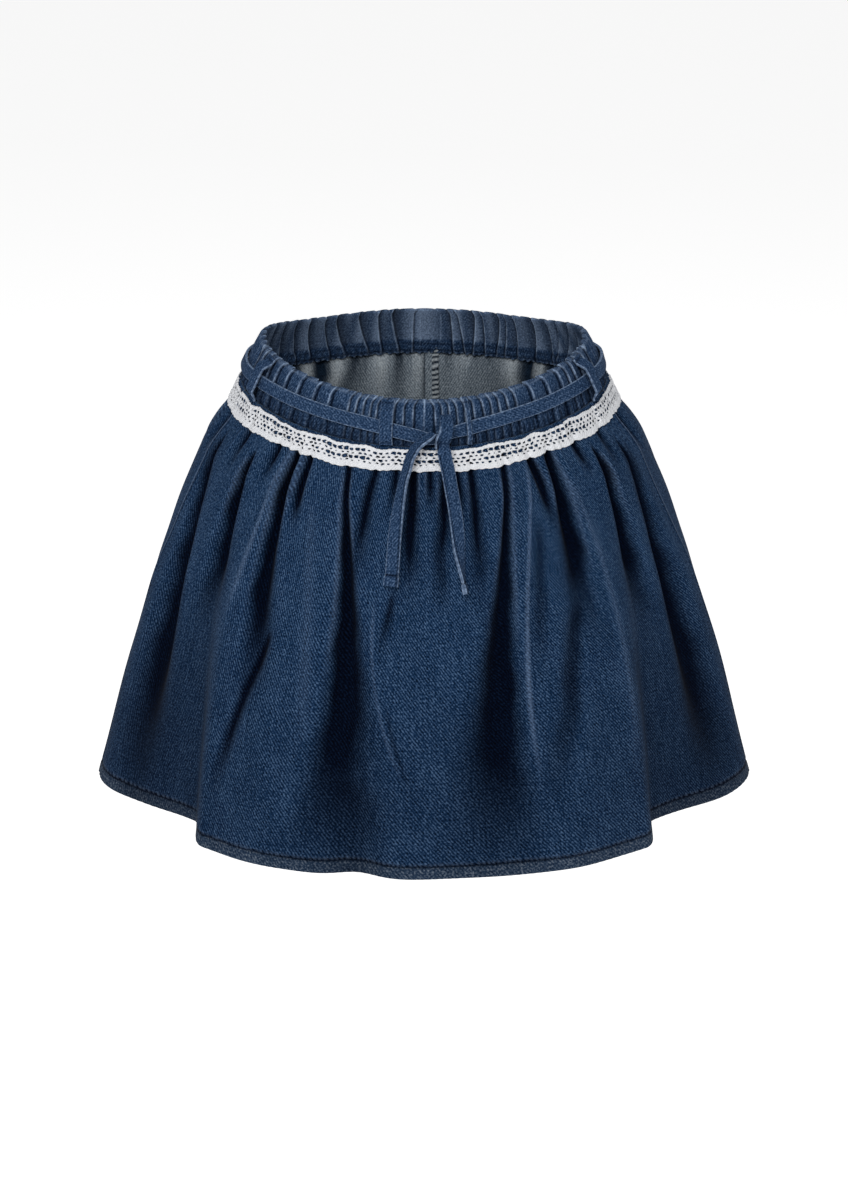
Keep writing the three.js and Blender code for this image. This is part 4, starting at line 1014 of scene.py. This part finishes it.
for panel in ("front", "back"):
    count = LACE_COUNT[panel]
    bands = [plain_band(count, np.array([0, 0.4, 0.8, 1.2]), 0.12)]
    bands += [eyelet_band(count, band) for band in EYELET_BANDS]
    bands += [plain_band(count, np.array(PLAIN_FOOT), 0.2)]
    starts = np.cumsum([0] + [len(points) for points, _ in bands])
    flat = np.concatenate([points for points, _ in bands])
    quads = np.concatenate([faces + first for (_, faces), first in zip(bands, starts)])
    _, kept, copy_of = np.unique(np.round(flat[:, :2], 4), axis=0, return_index=True, return_inverse=True)
    pitch, down, lift = flat[kept].T
    quads = copy_of.ravel()[quads]
    inward = np.clip(np.minimum(pitch, count - pitch) / 3, 0, 1)
    pitch = pitch + 0.25 * inward * (1 - np.cos(np.pi * (down - ROW_SHIFT[0]) / ROW_SHIFT[1]))
    share = pitch / count
    s = pitch * LACE_PITCH
    picots = 0.3 * np.abs(np.sin(s / 0.9))
    top_wave = 0.5 * stray_wave(s, 5.6, 1.5, 17) + 0.25 * np.sin(s / 2.3 + 1) + picots
    scallop = 0.45 * np.abs(stray_wave(s, 1.6, 1, 7)) + 0.3 * np.sin(s / 3.7) + 0.4 * np.sin(s / 13)
    drop = LACE_TOP + down + mix(0.6 - top_wave, scallop, np.clip(down / LACE_DEEP, 0, 1) ** 0.7)
    deg = panel_degrees(panel, drop, share)
    ruffle = 0.25 * stray_wave(s, 2.7, 1, 9) * (1 - down / LACE_DEEP)
    dip = skirt_folds(deg, np.maximum(drop, SKIRT_TOP + 0.1))[0]
    bridged = np.where(dip < 0, LACE_HANG * dip, dip)
    shape = form(deg, drop, bridged + LACE_RIDE + LACE_THICK + lift + ruffle)
    lace = cloth_object(f"lace_{panel}_trim", shape, quads, np.stack([s, down], -1), [LACE])
    shell = lace.modifiers.new("thickness", "SOLIDIFY")
    shell.thickness = LACE_THICK * MM
    shell.offset = -1
    finish_piece(lace, "cotton_lace", f"lace_{panel}")


# Tie belt. One long strap of the skirt's denim, folded to 7.5 mm, laid round the casing through the
# loops. Folded in four it is stiff, so it stands off the gathers, and its edges are rubbed pale and lit
# with a painted highlight.
BELT_CLEARANCE = 0.5
BELT_THICK = 2
BELT_DEGREES = [-180, -120, -88, -64, -45, -31, -17.3, -9.7, -2.6, 1.5, 4.6]
BELT_DROPS = [13, 14, 15, 13, 12.3, 12.4, 13.4, 15.1, 17.3, 18.8, 19.2]
BELT_RIGHT_DEGREES = [5, 8, 10.5, 13.9, 17.8, 32, 63, 90, 120, 180]
BELT_RIGHT_DROPS = [19, 16.6, 15.6, 14.9, 13.9, 12.4, 12.5, 14.5, 14, 13]
BELT_STEPS = 500
belt_deg = np.linspace(BELT_DEGREES[-1], BELT_RIGHT_DEGREES[0] - 360, BELT_STEPS)
on_right = belt_deg < -180
belt_deg = np.where(on_right, belt_deg + 360, belt_deg)
belt_drop = np.where(on_right, along(BELT_RIGHT_DEGREES, BELT_RIGHT_DROPS, belt_deg),
                     along(BELT_DEGREES, BELT_DROPS, belt_deg))
belt_normal = form_normal(belt_deg, belt_drop)
lift = BELT_CLEARANCE + BELT_THICK / 2 + 0.2 * np.sin(belt_deg / 3.7) * np.sin(belt_deg / 11)
belt_centre = form(belt_deg, belt_drop) + belt_normal * lift[:, None]
pinch = ease(0, 9, np.abs(belt_deg - 5.2))
# Painted shade on the belt where it narrows into the knot
belt = strap_object("belt_round_strap", belt_centre, belt_normal, 6 * np.sin(belt_deg / 13),
                    width=mix(5.4, 7.2, pinch), thick=BELT_THICK * 0.8, swell=0.2, worn=(0.9, 0.9),
                    shade=0.25 * (1 - pinch))
finish_piece(belt, "denim", "belt_round")


# Belt loops. Short denim straps, folded to 7 mm, sewn to the casing's top edge and to the waist seam
# by bar tacks. The one right of the knot is folded on itself and shows its two edges.
LOOP_FOOT = 22.9
LOOP_REST = 0.4

# Each row is a loop's degrees, lean, slack, width, thickness, the drop of its head and how pale its two
# edges are
LOOPS = [("loop_side_left", -64, -2.4, 1.4, 7, 1.6, 0.5, (0.15, 1)),
         ("loop_side_right", 64.5, 2.2, 1.4, 7, 1.6, 0.5, (1, 0.15)),
         ("loop_front_left", -12, 0.5, 0.2, 7, 1.6, 0.6, (0.3, 1)),
         ("loop_front_right", 13.8, 0, 0.6, 2.3, 2.8, 0.6, (1, 0.6)),
         ("loop_back", 180, 0, 0.2, 7, 1.6, 2.6, (0.6, 0.6))]
for loop_name, deg, lean, slack, wide, thick, head, pale in LOOPS:
    t = np.linspace(0, 1, 80)
    drop = mix(head, LOOP_FOOT, t)
    over = ease(0.06, 0.3, t) * (1 - ease(0.8, 0.98, t))
    tacked = bell(drop - head - 1.6, 0.7) + bell(drop - LOOP_FOOT + 1.4, 0.7)
    offset = mix(LOOP_REST, BELT_CLEARANCE + BELT_THICK + SEAM_GAP + slack, over) + thick / 2
    angle = deg + lean * t
    normal = form_normal(angle, drop)
    centre = form(angle, drop) + normal * offset[:, None]
    loop = strap_object(loop_name + "_strap", centre, normal, np.zeros_like(t), width=wide,
                        thick=thick * (0.9 - 0.3 * tacked), swell=0.25, worn=pale, shade=0.5 * tacked)
    finish_piece(loop, "denim", loop_name)


# Knot. The two ends of the tie are wrapped once over each other and drawn tight: a short upright band
# over the crossing, with the left end folded out from under its top.
# Rows as for the free ends
WRAP = [(6.8, 8.2, 1.4, 0), (6.8, 9.6, 4.8, 0), (6.8, 12.2, 7.2, 4), (6.5, 15.4, 7.9, 4), (6.1, 18.6, 7, 0),
        (5.8, 21.6, 5.6, -4), (5.8, 24.6, 4.8, -6), (5.9, 26.6, 4.5, -6)]
WRAP_STEPS, FOLD_STEPS, STUB_STEPS = 70, 60, 40
wrap_centre, wrap_normal, wrap_turn = route(WRAP, WRAP_STEPS)
along_wrap = np.linspace(0, 1, WRAP_STEPS)
swollen = 6 + 1.2 * np.sin(np.pi * np.clip(along_wrap * 1.4, 0, 1)) + 1 * ease(0.7, 1, along_wrap)
# Painted shade in a band across the wrap, two thirds along
knot = strap_object("knot_wrap", wrap_centre, wrap_normal, wrap_turn, width=swollen, thick=2.6, swell=0.1,
                    worn=(0.2, 0.1), shade=0.45 * bell(along_wrap - 0.66, 0.1))
finish_piece(knot, "denim", "knot")
FOLD = [(2.8, 15.8, 6.2, -40), (1.8, 17.3, 7, -48), (0.4, 19, 6.9, -53), (-1.1, 20.9, 6.4, -54),
        (-2.4, 23.2, 5.6, -52), (-3.2, 25.6, 5.1, -52)]
fold_centre, fold_normal, fold_turn = route(FOLD, FOLD_STEPS)
tail_head = strap_object("knot_left_fold", fold_centre, fold_normal, fold_turn,
                         width=np.linspace(4, 7.4, FOLD_STEPS), swell=0.2, worn=(0.7, 1), seams=(-0.73, 0.2))
finish_piece(tail_head, "denim")
STUB = [(5.9, 12.4, 6.8, 22), (5.7, 13.8, 8, 26), (5.4, 15.6, 8.3, 30), (4.8, 17.8, 7.8, 32),
        (4.3, 20.4, 6.6, 32), (4.3, 23.2, 5, 32)]
stub_centre, stub_normal, stub_turn = route(STUB, STUB_STEPS)
# Painted shadow in the hollow at the stub's end, beside the right tail
tail_stub = strap_object("knot_tucked_fold", stub_centre, stub_normal, stub_turn, width=4.2, swell=0.2,
                         worn=(1, 0.1), shade=0.9 * ease(0.4, 1, np.linspace(0, 1, STUB_STEPS)))
finish_piece(tail_stub, "denim")


# Seat seam inside. The allowance of the centre back seam is pressed to one side: a row of dark stitches
# along the seam, a flat strip, and an overlocked edge of looped navy and pale thread.
ALLOWANCE_WIDTH = 8.5
allowance_drop = np.linspace(SKIRT_TOP, 84, 90)
across = np.linspace(0, 1, 24)
drop_grid, across_grid = np.meshgrid(allowance_drop, across, indexing="ij")
share_length = 180 * degree_length(180, CASING_HEIGHT)
share = 1 - (0.5 + ALLOWANCE_WIDTH * across_grid) / share_length
base = shorts_point(share, drop_grid)
normal = grid_normal(base[:, ::-1])[:, ::-1]
thread = np.abs(np.sin(drop_grid / 2.9 * np.pi + across_grid * 2))
loops_of_thread = 0.5 * thread * ease(0.5, 0.62, across_grid)
outer = base - normal * (CLOTH + 0.4)
inner = base - normal * (CLOTH + 1.3 + loops_of_thread[..., None])
uv = np.stack([ALLOWANCE_WIDTH * across_grid, drop_grid], -1)
overlock = ease(0.52, 0.58, across_grid)
dark_stitch = bell((across_grid - 0.06) * ALLOWANCE_WIDTH, 0.35)
allowance = wall_object("seat_seam_allowance_strip", outer[:, ::-1], inner[:, ::-1], uv,
                        DENIM_REVERSE, DENIM_REVERSE,
                        worn=(overlock * 0.7 * ease(0.55, 0.95, thread))[:, ::-1],
                        unfaded=np.clip(overlock * (1 - 0.7 * thread) * 1.3 + dark_stitch, 0, 1)[:, ::-1])
finish_piece(allowance, "denim_inside", "seat_seam_allowance")
